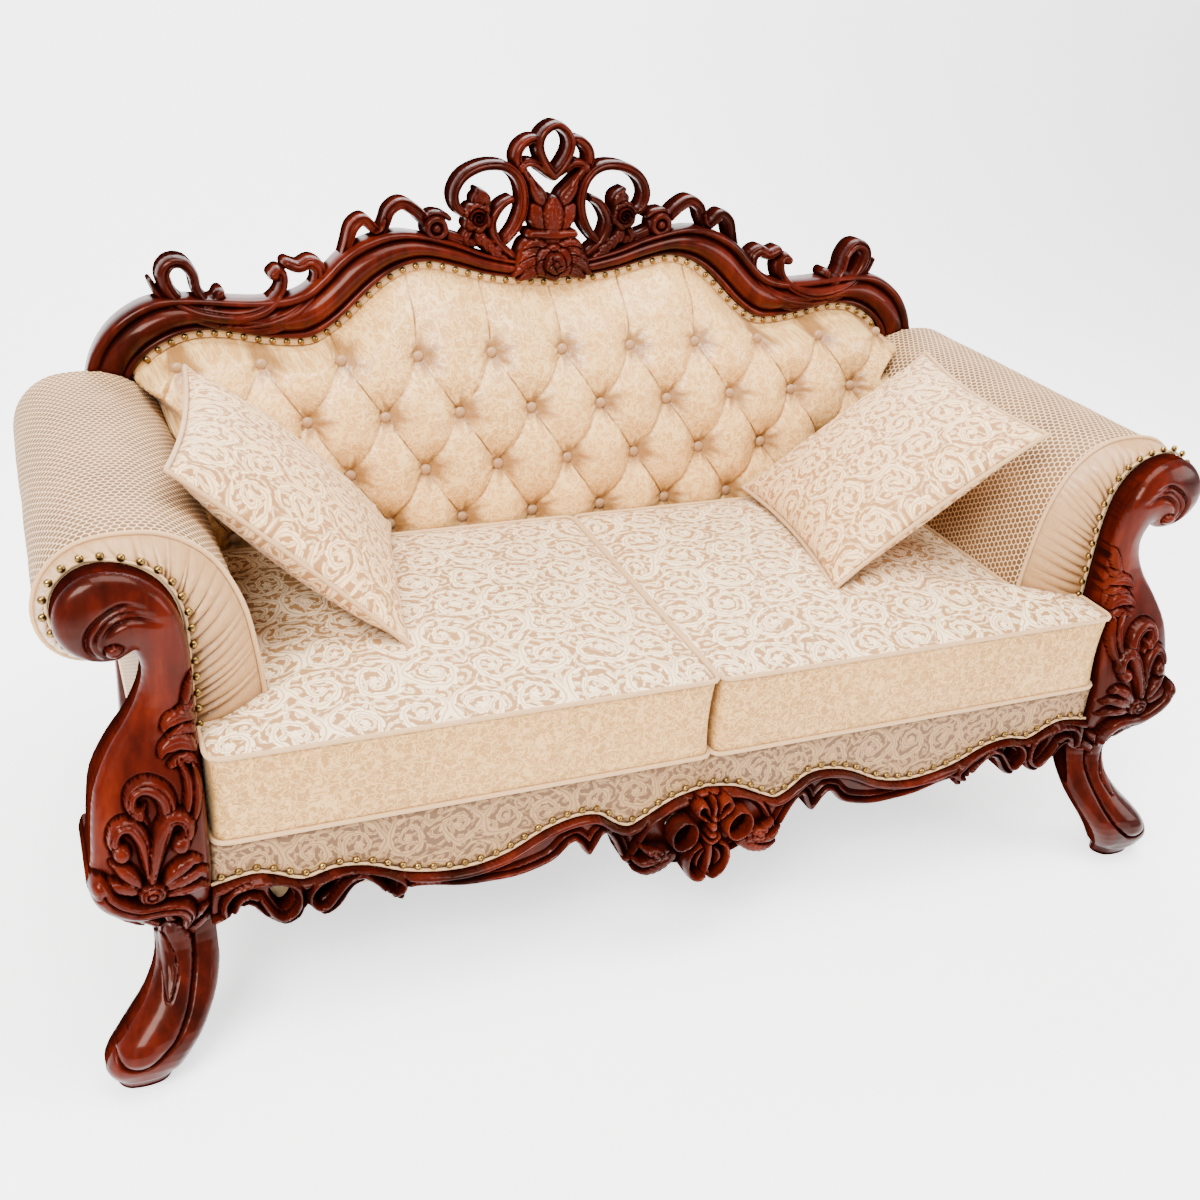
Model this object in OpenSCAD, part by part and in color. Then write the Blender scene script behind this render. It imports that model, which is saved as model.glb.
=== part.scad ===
// Carved two-seater sofa: a mahogany show-wood frame with a serpentine crest, cabriole front posts
// with volutes, upholstered scroll arms, a deep-buttoned back, two loose T-cushions and two pillows.
// It stands on z = 0 with x to the viewer's right, the front towards -y, all in millimetres.

/* [Seat] */
// Clear width between the two padded arms
arm_gap = 1208; // [1160:4:1300]
// Height of the sprung seat platform above the floor
deck_h = 325; // [318:1:335]
// Height of a seat cushion from its bottom seam to its top seam
cushion_t = 126; // [100:1:135]
// Rise of a seat cushion's crown above its top seam
cushion_crown = 20; // [8:1:30]
// Depth of a seat cushion
cushion_d = 563; // [540:1:575]
// Gap between the two seat cushions
cushion_gap = 3; // [1:0.5:8]
// Reach of a cushion's front in front of the front rail
cushion_nose = 30; // [20:1:34]
// Thickness of the upholstered border under the cushions
border_t = 25; // [15:1:30]

/* [Frame] */
// Depth from the front rail's face to the crest rail's face
frame_d = 690; // [660:2:740]
// Height of the legs up to the underside of the seat rails
leg_h = 200; // [190:1:210]
// Height of the seat rails
rail_h = 80; // [70:1:84]
// Thickness of the front and back seat rails
rail_t = 30; // [24:1:40]
// Thickness of the side seat rails
side_rail_t = 36; // [24:1:40]
// Reach of a front foot's toe in front of the front rail
toe_reach = 95; // [90:1:105]
// Reach of a back foot behind the crest rail's face
back_kick = 95; // [80:1:110]
// Distance from an arm's inner face out to a front post's inner face
post_inset = 96; // [90:1:104]
// Thickness of a front post beside the arm
post_t = 52; // [44:1:60]
// Radius of the volute at the top of a front post
volute_r = 57; // [50:1:60]
// Width of a back leg across the sofa
stile_w = 57; // [48:1:60]
// Height of the joint between a back leg and the crest rail
stile_h = 640; // [620:1:660]
// Lean of the back from upright, in degrees
recline = 1.7; // [0:0.1:4]

/* [Arms] */
// Height of the arms
arm_h = 705; // [695:1:715]
// Width of an arm from its inner face to the outside of its roll
arm_w = 262; // [250:1:280]
// Depth of the pleated band at an arm's front
ruche_d = 43; // [34:1:50]
// Thickness of the covered piping round an arm's front
piping_t = 4; // [3:0.5:6]

/* [Back] */
// Thickness of the crest rail and of the back legs behind the pad
crest_t = 45; // [38:1:55]
// Thickness of the scrollwork on the crest
scroll_t = 32; // [24:1:36]
// Sideways distance between two buttons in a row
tuft_pitch = 125; // [118:1:126]
// Height between two rows of buttons
tuft_row = 87; // [80:1:92]
// Height of the top row of buttons
tuft_top = 722; // [705:1:730]
// Depth of a button below the puffs round it
tuft_depth = 26; // [12:1:34]
// Radius of a covered button
button_r = 9.5; // [7:0.5:12]
// Thickness of a covered button
button_t = 6; // [4:0.5:8]
// Thickness of the plywood back panel
board_t = 6; // [4:1:9]

/* [Trim] */
// Radius of a brass upholstery nail's head
nail_r = 5.5; // [4:0.5:7]
// Height of a nail's head
nail_t = 4; // [2.5:0.5:5]
// Distance from nail to nail
nail_pitch = 22.5; // [18:0.5:32]
// Width of the flat gimp braid along the crest
gimp_w = 12; // [9:1:14]
// Thickness of the apron carving behind its raised centre
apron_t = 40; // [30:1:45]
// Thickness of the apron's raised centre
cartouche_t = 20; // [12:1:25]

/* [Springs] */
// Number of sinuous seat springs
spring_count = 9; // [6:1:10]
// Thickness of the spring wire
wire_t = 3.6; // [3:0.1:4.5]
// Half width of a spring's zigzag
spring_amp = 24; // [16:1:28]

/* [Pillows] */
// Side of a square throw pillow
pillow_w = 400; // [360:5:420]
// Thickness of a throw pillow
pillow_t = 116; // [90:2:120]
// Lean of the left pillow from flat, in degrees
pillow_lean_left = 41; // [36:1:44]
// Lean of the right pillow from flat, in degrees
pillow_lean_right = 38; // [34:1:42]

/* [Hidden] */
$fn = 48;
rest = 0.3;
yf = -(frame_d + toe_reach + back_kick) / 2 + toe_reach;
yk = yf + frame_d;
hinge_z = 500;
xin = arm_gap / 2;
xo = xin + arm_w;
post_in = xin + post_inset;
stile_in = post_in - 5;
rail_x = post_in + 12;
rail_top = leg_h + rail_h;
volute_z = arm_h - 67;
post_back = yf + post_t;
block_d = 83;
arm_front = post_back + ruche_d;
clip_t = 1.2;
back_rail_y = leant(crest_t, leg_h)[0] - rail_t - rest;
leg_y = leant(0, rail_top)[0];
deck_z = rail_top + 2 * clip_t + wire_t + rest;
seam_lo = deck_h + 3;
seam_hi = seam_lo + cushion_t;
cushion_y = yf - cushion_nose;
pad_y = cushion_y + cushion_d + 5;
apron_y = yf - apron_t;
mahogany = [0.42, 0.13, 0.07];
damask = [0.87, 0.80, 0.70];
satin = [0.91, 0.84, 0.74];
netcloth = [0.78, 0.69, 0.56];
brass = [0.62, 0.45, 0.20];

// Smooth curve through the points p, with n steps between two of them
function cr(a, b, c, d, t) = 0.5 * (2 * b + (c - a) * t + (2 * a - 5 * b + 4 * c - d) * t * t
  + (3 * b - a - 3 * c + d) * t * t * t);
function smooth(p, n = 3) = let (m = len(p) - 1)
  concat([for (i = [0:m - 1]) for (k = [0:n - 1])
    cr(p[max(i - 1, 0)], p[i], p[i + 1], p[min(i + 2, m)], k / n)], [p[m]]);
function flip(p) = [for (i = [len(p) - 1:-1:0]) p[i]];
function mir(p) = [for (q = p) [-q[0], q[1]]];
function nrm(p, i) = let (a = p[max(i - 1, 0)], b = p[min(i + 1, len(p) - 1)], d = b - a)
  [-d[1], d[0]] / norm(d);
function shift(p, d) = [for (i = [0:len(p) - 1]) p[i] + nrm(p, i) * d];
// Outline of a band along p whose width runs through the list w
function band(p, w) = let (m = len(p) - 1, v = len(w) - 1,
    h = [for (i = [0:m]) let (s = i / m * v, k = min(floor(s), v - 1))
      (w[k] + (w[k + 1] - w[k]) * (s - k)) / 2])
  concat([for (i = [0:m]) p[i] + nrm(p, i) * h[i]], [for (i = [m:-1:0]) p[i] - nrm(p, i) * h[i]]);
function oval(c, rx, rz, n = 28) = [for (i = [0:n - 1]) c + [rx * cos(360 * i / n), rz * sin(360 * i / n)]];
function cum(p) = [for (i = 0, s = 0; i < len(p);
  s = s + (i + 1 < len(p) ? norm(p[i + 1] - p[i]) : 0), i = i + 1) s];
function at_len(p, c, s) = let (i = max([0, for (k = [0:len(p) - 2]) if (c[k] <= s) k]))
  p[i] + (p[i + 1] - p[i]) * (s - c[i]) / (c[i + 1] - c[i]);
function spread(p, n) = let (c = cum(p)) [for (k = [0:n]) at_len(p, c, c[len(c) - 1] * k / n)];
function spaced(p, d) = let (c = cum(p)) spread(p, max(2, round(c[len(c) - 1] / d)));
// Splits each cell of a grid of rows a to a+m and columns 0 to n into two triangles
function cells(m, n, o, w, up) = [for (j = [0:m - 1]) for (i = [0:n - 1])
  let (a = o + j * w + i, b = a + 1, c = a + w + 1, d = a + w)
  each (up ? [[a, b, c], [a, c, d]] : [[a, c, b], [a, d, c]])];

// Extrudes an x-z outline from y = y0 to y = y1
module slab(y0, y1) {
  translate([0, y1, 0]) rotate([90, 0, 0]) linear_extrude(y1 - y0) children();
}
// Extrudes a y-z outline from x = x0 to x = x1
module plank(x0, x1) {
  translate([x0, 0, 0]) rotate([90, 0, 90]) linear_extrude(x1 - x0) children();
}
// The leaning plane of the back: y = 0 there is the crest rail's face
module leaning() {
  translate([0, yk, hinge_z]) rotate([-recline, 0, 0]) translate([0, 0, -hinge_z]) children();
}
function leant(y, v) = [yk + y * cos(recline) + (v - hinge_z) * sin(recline),
  hinge_z - y * sin(recline) + (v - hinge_z) * cos(recline)];
module on_side(side) {
  mirror([side < 0 ? 1 : 0, 0, 0]) children();
}

// Front view of a post: foot from the floor, knee from the rails, volute from the arm
function P(dx, z) = [post_in + dx, z];
post_inner = concat([P(83, 0), P(68, 29), P(45, 64), P(18, leg_h - 80), P(3, leg_h - 22),
  P(0, leg_h - 6)], [P(0, volute_z - 78), P(4, volute_z - 18), P(24, volute_z + 26),
  P(56, volute_z + 50), P(92, volute_z + volute_r)]);
post_outer = smooth([P(135, 0), P(138, 22), P(147, 45), P(147, 72), P(130, 98), P(99, leg_h - 64),
  P(76, leg_h - 26), P(72, leg_h + 4), P(88, leg_h + 36), P(116, leg_h + 58), P(142, leg_h + 90),
  P(146, leg_h + 115), P(138, leg_h + 140), P(134, leg_h + 178), P(126, leg_h + 225),
  P(104, volute_z - 169), P(80, volute_z - 135), P(63, volute_z - 101), P(57, volute_z - 70),
  P(64, volute_z - 46)]);
volute_arc = [for (a = [75:-15:-105]) P(92, volute_z) + volute_r * [cos(a), sin(a)]];
post_side = concat(smooth([[yf - 80, 0], [yf - toe_reach + 1.4, 40], [yf - toe_reach + 3, 75],
  [yf - 70, 110], [yf - 30, leg_h - 40], [yf - 17, leg_h], [yf - 33, leg_h + 50],
  [yf - 47, leg_h + 100], [yf - 43, leg_h + 150], [yf - 25, leg_h + 220], [yf - 5, volute_z - 158],
  [yf + 5, volute_z - 98], [yf + 3, volute_z - 38], [yf, volute_z + 2], [yf + 8, volute_z + 62]]),
  [[post_back, volute_z + 62], [post_back, deck_h + 5], [yf + block_d, deck_h + 5],
  [yf + block_d, leg_h - 10]], smooth([[yf + 39, leg_h - 22], [yf + 19, leg_h - 50],
  [yf - 7, 110], [yf - 26, 75], [yf - 32, 40], [yf - 35, 0]]));

module front_post(side) {
  color(mahogany) on_side(side) intersection() {
    slab(yf - toe_reach - 5, yf + block_d + 1) {
      polygon(concat(post_inner, volute_arc, flip(post_outer)));
    }
    plank(post_in - 1, post_in + 160) polygon(post_side);
  }
}

module back_leg(side) {
  kick = yk + back_kick;
  foot = [kick, 0];
  outline = concat([leant(0, stile_h), leant(crest_t, stile_h), leant(crest_t, leg_h + 2)],
    smooth([leant(crest_t, leg_h - 20) + [1, 0], leant(crest_t, leg_h - 55) + [6, 0],
    [kick - 34, 95], foot + [-10, 38], foot]), [foot - [45, 0]],
    smooth([foot + [-53, 38], [kick - 80, 95], [leg_y + 5, leg_h - 45], [leg_y, leg_h - 8]]),
    [[leg_y, rail_top], leant(0, rail_top + 20)]);
  color(mahogany) on_side(side) plank(stile_in, stile_in + stile_w) polygon(outline);
}

module front_rail() {
  color("burlywood") translate([-post_in, yf, leg_h]) cube([2 * post_in, rail_t, rail_h]);
}
module back_rail() {
  color("burlywood") translate([-stile_in, back_rail_y, leg_h])
    cube([2 * stile_in, rail_t, rail_h]);
}
module side_rail(side) {
  color(mahogany) on_side(side) translate([rail_x, yf + block_d, leg_h])
    cube([side_rail_t, leg_y - yf - block_d, rail_h]);
}
module centre_stretcher() {
  color("burlywood") translate([-15, yf + rail_t, leg_h])
    cube([30, back_rail_y - yf - rail_t, rail_h / 2]);
}

// Corner blocks: front ones from rail to post, back ones from side rail to back leg
block_front = [[post_in, yf + rail_t], [post_in - 80, yf + rail_t], [post_in, yf + block_d]];
block_back = [[rail_x, leg_y], [rail_x, leg_y - 80], [stile_in - 60, back_rail_y],
  [stile_in, back_rail_y], [stile_in, leg_y]];
function mid(a, b) = (a + b) / 2;
seat_front = mid(block_front[1], block_front[2]);
seat_back = mid(block_back[1], block_back[2]);
function slope(a, b) = atan2(b[1] - a[1], b[0] - a[0]);
turn_front = slope(block_front[1], block_front[2]);
turn_back = slope(block_back[1], block_back[2]);
module screw_places() {
  for (side = [-1, 1]) on_side(side) for (z = [leg_h + rail_h * 0.3, leg_h + rail_h * 0.7]) {
    translate([seat_front[0], seat_front[1], z]) rotate([-90, 0, turn_front]) children();
    translate([seat_back[0], seat_back[1], z]) rotate([-90, 0, turn_back]) children();
  }
}
module corner_blocks() {
  color("tan") difference() {
    for (side = [-1, 1]) on_side(side) translate([0, 0, leg_h + 10]) linear_extrude(rail_h - 20) {
      polygon(block_front);
      polygon(block_back);
    }
    screw_places() translate([0, 0, -20]) cylinder(r = 3, h = 30);
  }
}
module corner_screws() {
  color("silver") screw_places() {
    translate([0, 0, -18]) cylinder(r = 2.9, h = 18, $fn = 24);
    cylinder(r = 6, h = 3, $fn = 24);
  }
}

// Sinuous springs run from the front rail to the back rail, their ends held in clips
spring_y0 = yf + 8;
spring_y1 = back_rail_y + rail_t - 8;
function spring_x(k) = (k - (spring_count - 1) / 2) * (arm_gap - 120) / (spring_count - 1);
spring_turns = 24;
spring_path = concat([[0, spring_y0]], [for (i = [0:spring_turns * 4])
  [spring_amp * sin(90 * i), spring_y0 + 22 + (spring_y1 - spring_y0 - 44) * i / (spring_turns * 4)]],
  [[0, spring_y1]]);
module seat_springs() {
  color("dimgray") for (k = [0:spring_count - 1]) translate([spring_x(k), 0, rail_top + clip_t])
    linear_extrude(wire_t) polygon(band(spring_path, [wire_t, wire_t]));
}
module spring_clips() {
  color("silver") for (k = [0:spring_count - 1]) for (y = [spring_y0 - 4, spring_y1 - 14])
    translate([spring_x(k) - 9, y, rail_top]) difference() {
      cube([18, 18, 2 * clip_t + wire_t]);
      translate([-1, y < 0 ? clip_t : -clip_t, clip_t]) cube([20, 18, wire_t]);
    }
}
module seat_deck() {
  w = post_in - rest;
  v = xin - rest;
  b = post_back - rest;
  color(satin) translate([0, 0, deck_z]) linear_extrude(deck_h - deck_z) polygon([[-w, yf], [w, yf],
    [w, b], [v, b], [v, leg_y - rest], [-v, leg_y - rest], [-v, b], [-w, b]]);
}
module dust_cover() {
  x = post_in - 20;
  color([0.12, 0.12, 0.12]) translate([-x, yf + 10, leg_h - 1]) cube([2 * x, back_rail_y + 10 - yf, 1]);
}

// Serpentine top and bottom of the apron, right half, heights from the rails' underside
ax = post_in / 700;
function A(x, dz) = [x * ax, leg_h + dz];
apron_top = smooth([A(0, 72), A(50, 62), A(100, 36), A(122, 28), A(145, 40), A(170, 59), A(205, 62),
  A(250, 50), A(300, 24), A(350, 12), A(400, 14), A(450, 26), A(500, 48), A(545, 54), A(585, 46),
  A(620, 62), A(650, 70), A(700, 62)]);
apron_low = smooth([A(0, -40), A(40, -50), A(75, -38), A(106, -38), A(128, -26), A(146, 12),
  A(161, 31), A(172, 12), A(184, -3), A(207, 27), A(229, 8), A(248, -3), A(289, -13), A(330, -13),
  A(371, -10), A(411, 0), A(445, 4), A(454, -13), A(474, 1), A(497, 28), A(519, 27), A(538, -1),
  A(561, -12), A(581, 9), A(591, -7), A(613, -15), A(637, 5), A(658, 29), A(684, 6), A(700, -6)]);
ring_at = A(45, 7);
module apron_rail() {
  color(mahogany) slab(apron_y, yf) difference() {
    polygon(concat(flip(apron_top), mir(apron_top), flip(mir(apron_low)), apron_low));
    for (side = [-1, 1]) on_side(side) {
      translate(ring_at) circle(17);
      polygon(oval(A(610, 20), 16, 17));
      polygon(oval(A(556, 16), 9, 17));
      polygon(oval(A(466, 11), 7, 6));
    }
  }
}
module apron_cartouche() {
  color(mahogany) slab(apron_y - cartouche_t, apron_y) difference() {
    union() {
      for (side = [-1, 1]) on_side(side) {
        translate(ring_at) circle(26);
        polygon(oval(A(85, -32), 22, 20));
        polygon(oval(A(18, 48), 15, 22));
      }
      polygon(oval(A(0, -62), 34, 36));
      polygon(oval(A(0, 15), 24, 50));
    }
    for (side = [-1, 1]) on_side(side) translate(ring_at) circle(17);
  }
  color(mahogany) slab(apron_y, yf - 10) difference() {
    polygon(oval(A(0, -62), 34, 36));
    polygon(concat(flip(apron_top), mir(apron_top), flip(mir(apron_low)), apron_low));
  }
}
module front_border() {
  x = post_in;
  color(damask) slab(yf - border_t, yf) polygon(concat([[-x, deck_h], [x, deck_h]], flip(apron_top),
    mir([for (i = [1:len(apron_top) - 1]) apron_top[i]])));
}
module nail(y) {
  translate([0, y, 0]) rotate([90, 0, 0]) cylinder(r = nail_r, h = nail_t, $fn = 8);
}
module apron_nails() {
  line = shift(apron_top, nail_r + 3);
  full = [for (q = concat(flip(mir(line)), [for (i = [1:len(line) - 1]) line[i]]))
    if (abs(q[0]) < post_in - nail_r - 3) q];
  color(brass) for (q = spaced(full, nail_pitch)) translate([q[0], 0, q[1]]) nail(yf - border_t);
}

// Arm section, from the seat up its inner face, over the roll and back under it
pad_z = rail_top + 20 + rest;
arm_line = concat([[xin, pad_z]], smooth([[xin, deck_h + 130], [xin + 9, deck_h + 205],
  [xin + 24, arm_h - 105], [xin + 56, arm_h - 43], [xin + 104, arm_h - 8], [xin + 158, arm_h],
  [xo - 51, arm_h - 9], [xo - 14, arm_h - 42], [xo, arm_h - 90], [xo - 13, arm_h - 134],
  [xo - 47, arm_h - 157], [xo - 87, arm_h - 151], [post_in + 54, arm_h - 130]], 4));
arm_out = post_in + 48;
frame_hole = [[post_in + 15, pad_z - 2], [post_in + 36, pad_z - 2], [post_in + 36, arm_h - 105],
  [post_in + 52, arm_h - 105], [post_in + 52, arm_h - 80], [post_in, arm_h - 80],
  [post_in, arm_h - 105], [post_in + 15, arm_h - 105]];
module cut_at_back() {
  difference() {
    children();
    leaning() translate([xin - 50, -rest, leg_h]) cube([arm_w + 120, 200, arm_h]);
  }
}
module arm_pad(side) {
  color(netcloth) on_side(side) cut_at_back() slab(arm_front, yk + 20) difference() {
    polygon(concat(arm_line, [[arm_out, arm_h - 132], [arm_out, pad_z]]));
    polygon([for (q = frame_hole) q + [q[0] > post_in + 20 ? rest : -rest,
      q[1] > arm_h - 100 ? rest : q[1] > pad_z ? -rest : 0]]);
  }
}
// The wood's edge that the pleated band meets, from the inner face round the volute
ruche_z = deck_h + 5 + rest;
ruche_in = spread(smooth(concat([P(0, ruche_z), P(0, volute_z - 200)], [P(0, volute_z - 78),
  P(4, volute_z - 18), P(24, volute_z + 26), P(56, volute_z + 48)], [for (a = [80:-20:-100])
  P(92, volute_z) + (volute_r + 1) * [cos(a), sin(a)]], [P(64, volute_z - 48)])), 44);
ruche_out = spread(concat([[xin, ruche_z]], [for (i = [1:len(arm_line) - 1]) arm_line[i]]), 44);
module arm_frame(side) {
  color("tan") on_side(side) {
    slab(post_back, arm_front) polygon(concat(shift(ruche_in, -0.6),
      [[arm_out, volute_z - 60], [arm_out, ruche_z]]));
    cut_at_back() slab(arm_front, yk + 20) {
      polygon(frame_hole);
      polygon([[xin + 3, rail_top], [arm_out, rail_top], [arm_out, pad_z - rest],
        [xin + 3, pad_z - rest]]);
    }
  }
}
module arm_outside(side) {
  color(netcloth) on_side(side) cut_at_back() translate([arm_out + rest, yf + block_d, leg_h + 62])
    cube([4, yk + 20 - yf - block_d, arm_h - 134 - leg_h - 62]);
}
// Pleated band: sections from the arm's edge forward and inward to the wood
ruche_s = [0, 0.3, 0.65, 1];
function ruche_ring(i) = let (a = ruche_out[i], b = ruche_in[i], p = i % 2 == 0 ? 1 : -1,
    f = 1 - min(0.8, (2 * nail_r + 5) / norm(b - a)))
  concat([for (k = [0:3]) let (s = ruche_s[k], q = a + (b - a) * s * f, w = k == 1 || k == 2 ? 1 : 0)
    [q[0], arm_front - ruche_d * (1 - pow(1 - s, 2.2)) + w * p * 1.6, q[1]]],
    [[b[0], post_back, b[1]], [b[0], arm_front, b[1]]]);
module arm_ruche(side) {
  n = len(ruche_in);
  pts = [for (i = [0:n - 1]) each ruche_ring(i)];
  ring = [for (i = [0:n - 2]) for (k = [0:5]) let (a = i * 6 + k, b = i * 6 + (k + 1) % 6)
    each [[a, b + 6, b], [a, a + 6, b + 6]]];
  caps = [[0, 1, 2, 3, 4, 5], [for (k = [5:-1:0]) (n - 1) * 6 + k]];
  color(satin) on_side(side) polyhedron(pts, concat(ring, caps));
}
module arm_piping(side) {
  line = [for (i = [1:len(arm_line) - 1]) arm_line[i]];
  color(satin) on_side(side) slab(arm_front - 5, arm_front + 3)
    polygon(concat(line, flip(shift(line, piping_t))));
}
module arm_nails(side) {
  line = [for (q = shift(ruche_in, nail_r + 1.8)) if (q[1] > deck_h + nail_r + 3
    && min([for (e = post_outer) norm(q - e)]) > nail_r + 3) q];
  color(brass) on_side(side) for (q = spaced(line, nail_pitch)) translate([q[0], 0, q[1]])
    nail(post_back);
}

// Crest rail in the plane of the back, right half, heights from the joint with the back legs
cx = stile_in / 695;
function C(x, dz) = [x * cx, stile_h + dz];
crest_in = smooth([C(0, 182), C(75, 188), C(120, 195), C(160, 206), C(210, 217), C(250, 212),
  C(287, 194), C(325, 162), C(360, 130), C(400, 104), C(430, 100), C(465, 103), C(500, 109),
  C(530, 116), C(565, 120), C(600, 117), C(630, 106), C(657, 89), C(680, 65), C(692, 32),
  C(695, 0)]);
crest_out = smooth([C(0, 212), C(60, 214), C(120, 228), C(165, 245), C(210, 257), C(255, 265),
  C(297, 260), C(350, 237), C(385, 203), C(420, 175), C(460, 166), C(500, 165), C(560, 170),
  C(610, 173), C(645, 171), C(671, 162), C(701, 143), C(725, 118), C(745, 82), C(756, 38),
  C(757, 0)]);
module crest_shape() {
  polygon(concat(flip(crest_in), [for (i = [1:len(crest_in) - 1]) mir(crest_in)[i]],
    flip(mir(crest_out)), [for (i = [1:len(crest_out) - 1]) crest_out[i]]));
}
module bead(line, d, w) {
  m = shift(line, d);
  polygon(band(concat(flip(mir(m)), [for (i = [1:len(m) - 1]) m[i]]), [w, w]));
}
function above_arm(line) = [for (q = line) if (q[1] > arm_h + 9) q];
module boss_shape() {
  polygon(oval(C(0, 214), 38, 30));
  for (side = [-1, 1]) on_side(side) polygon(oval(C(44, 214), 24, 20));
}
module crest_rail() {
  color(mahogany) leaning() {
    slab(0, crest_t) crest_shape();
    slab(-6, 0) difference() {
      bead(above_arm(crest_in), 7, 10);
      boss_shape();
    }
    slab(-9, 0) difference() {
      bead(above_arm(crest_out), -8, 12);
      boss_shape();
    }
  }
}
scroll_y = (crest_t - scroll_t) / 2;
module crest_carving() {
  leaning() slab(scroll_y, scroll_y + scroll_t) difference() {
    children();
    crest_shape();
  }
}
// Open cartouche on the centre line: hoop, lobes, bracket, stems, shell and collars
module cartouche_shape() {
  difference() {
    union() {
      polygon(oval(C(0, 393), 24, 43));
      for (side = [-1, 1]) on_side(side) {
        polygon(oval(C(42, 386), 22, 23));
        polygon(band(smooth([C(60, 370), C(45, 351), C(24, 345), C(-4, 347)]), [10, 13, 14]));
        polygon(band(smooth([C(46, 366), C(38, 345), C(24, 325), C(12, 308)]), [12, 12, 12]));
        polygon(oval(C(28, 292), 13, 20));
        polygon(oval(C(10, 296), 14, 24));
      }
      translate(C(-30, 228)) square([60 * cx, 52]);
      translate(C(-40, 205)) square([80 * cx, 35]);
    }
    polygon(oval(C(0, 396), 14, 30));
    for (side = [-1, 1]) on_side(side) polygon(oval(C(44, 387), 9, 12));
  }
}
module crest_cartouche() {
  color(mahogany) crest_carving() cartouche_shape();
  color(mahogany) leaning() slab(-22, 0) boss_shape();
}
module scroll_shape() {
  polygon(band(smooth([C(52, 215), C(47, 260), C(50, 295), C(62, 335), C(85, 359), C(110, 364),
    C(138, 356), C(157, 335), C(162, 310), C(155, 286), C(140, 272)]), [14, 13, 13, 13, 12, 9]));
  polygon(band(smooth([C(72, 312), C(92, 298), C(104, 270), C(94, 244), C(66, 220)]), [8, 12, 9]));
  polygon(oval(C(128, 278), 20, 20));
  polygon(oval(C(126, 300), 11, 15));
  polygon(oval(C(124, 252), 15, 22));
}
module crest_scroll(side) {
  color(mahogany) crest_carving() difference() {
    on_side(side) scroll_shape();
    cartouche_shape();
  }
}
module ribbon_shape() {
  polygon(band(smooth([C(129, 243), C(165, 252), C(193, 263)]), [11, 9]));
  polygon(oval(C(200, 268), 20, 20));
  polygon(oval(C(291, 269), 9, 8));
  polygon(band(smooth([C(208, 272), C(216, 279), C(232, 295), C(255, 307), C(274, 297), C(282, 278),
    C(291, 264), C(303, 271), C(318, 283), C(334, 272), C(342, 250), C(350, 230)]),
    [10, 13, 15, 11, 11, 13, 10]));
}
module crest_ribbon(side) {
  color(mahogany) crest_carving() difference() {
    on_side(side) ribbon_shape();
    on_side(side) scroll_shape();
  }
}
module leaf_shape() {
  polygon(band(smooth([C(467, 200), C(466, 211), C(453, 216), C(439, 204), C(440, 180),
    C(459, 158), C(493, 147), C(530, 147), C(570, 161), C(608, 189), C(633, 212)]),
    [7, 9, 12, 15, 16, 15, 12]));
  polygon(band(smooth([C(625, 200), C(632, 214), C(624, 228), C(606, 235), C(588, 228), C(577, 208),
    C(571, 180), C(557, 164)]), [10, 13, 13, 12, 12]));
  polygon(band(smooth([C(566, 170), C(556, 161), C(543, 162), C(536, 180), C(545, 194), C(555, 190)]),
    [12, 11, 10, 7]));
  polygon(band(smooth([C(650, 196), C(628, 178), C(606, 163)]), [5, 14, 16]));
  polygon(band(smooth([C(446, 221), C(428, 226), C(408, 229), C(389, 214), C(386, 192), C(398, 165),
    C(412, 152)]), [5, 10, 15, 16, 20]));
}
module crest_leaf(side) {
  color(mahogany) crest_carving() on_side(side) leaf_shape();
}

// Buttoned back: rows of diamonds, flat behind, trimmed to the arms and the crest
function crest_low(x) = lookup(abs(x), [for (q = crest_in) [q[0], q[1]]]);
function arm_side(z) = lookup(z, [for (q = arm_line) if (q[0] < xin + 150) [q[1], q[0]]]);
function side_x(z) = min(stile_in - 7, arm_side(z) - 1);
function puff_line(z) = lookup(z, [[deck_h, 0], [tuft_top - 267, 0], [tuft_top - 217, 3],
  [tuft_top - 172, 10], [tuft_top - 122, 20], [tuft_top - 72, 34], [tuft_top - 27, 50],
  [tuft_top + 28, 80], [tuft_top + 78, 108], [tuft_top + 143, 136]]);
function diamond(x, z) = let (r = (z - tuft_top) / (2 * tuft_row), u = x / tuft_pitch + min(r, 0),
    v = x / tuft_pitch - min(r, 0), q = abs(sin(180 * u) * sin(180 * v)),
    c = pow(cos(180 * u) * cos(180 * v), 2), up = z > tuft_top ? max(0, 1 - (z - tuft_top) / 70) : 1)
  0.5 * (1 - pow(q, 0.6)) + 0.5 * c * up;
function edge_y(z) = leant(5, z)[0];
pad_steps = 19;
function pad_x(i, z) = let (k = i - 22, s = tuft_pitch / 4, a = side_x(z),
    b = min(20 * s, 19 * s + (a - 19 * s) / 3))
  abs(k) <= 19 ? k * s : sign(k) * (b + (a - b) * (abs(k) - 20) / 2);
function pad_row(j, top) = let (z1 = min(tuft_top, top - 18))
  j == pad_steps ? top : j > 14 ? z1 + (top - 14 - z1) * (j - 14) / 4 :
  j > 1 ? min(tuft_top - (14 - j) * tuft_row / 4, z1 - (14 - j)) :
  deck_h + rest + (tuft_top - 3 * tuft_row - deck_h) * j / 2;
function pad_top(x) = crest_low(x) - 4;
function pad_front(x, z, top) = let (h = max(10, min(60, top - 14 - tuft_top)),
    m = min((top - 14 - z) / h, (side_x(z) - abs(x)) / 40, 1), t = sin(90 * max(m, 0)),
    full = pad_y + puff_line(z) + tuft_depth * diamond(x, z))
  z < arm_h - 60 ? full : full * t + edge_y(z) * (1 - t);
function pad_point(i, j) = let (top = pad_top(pad_x(i, tuft_top)), z = pad_row(j, top),
    x = pad_x(i, z)) [x, pad_front(x, z, top), z];
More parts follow.
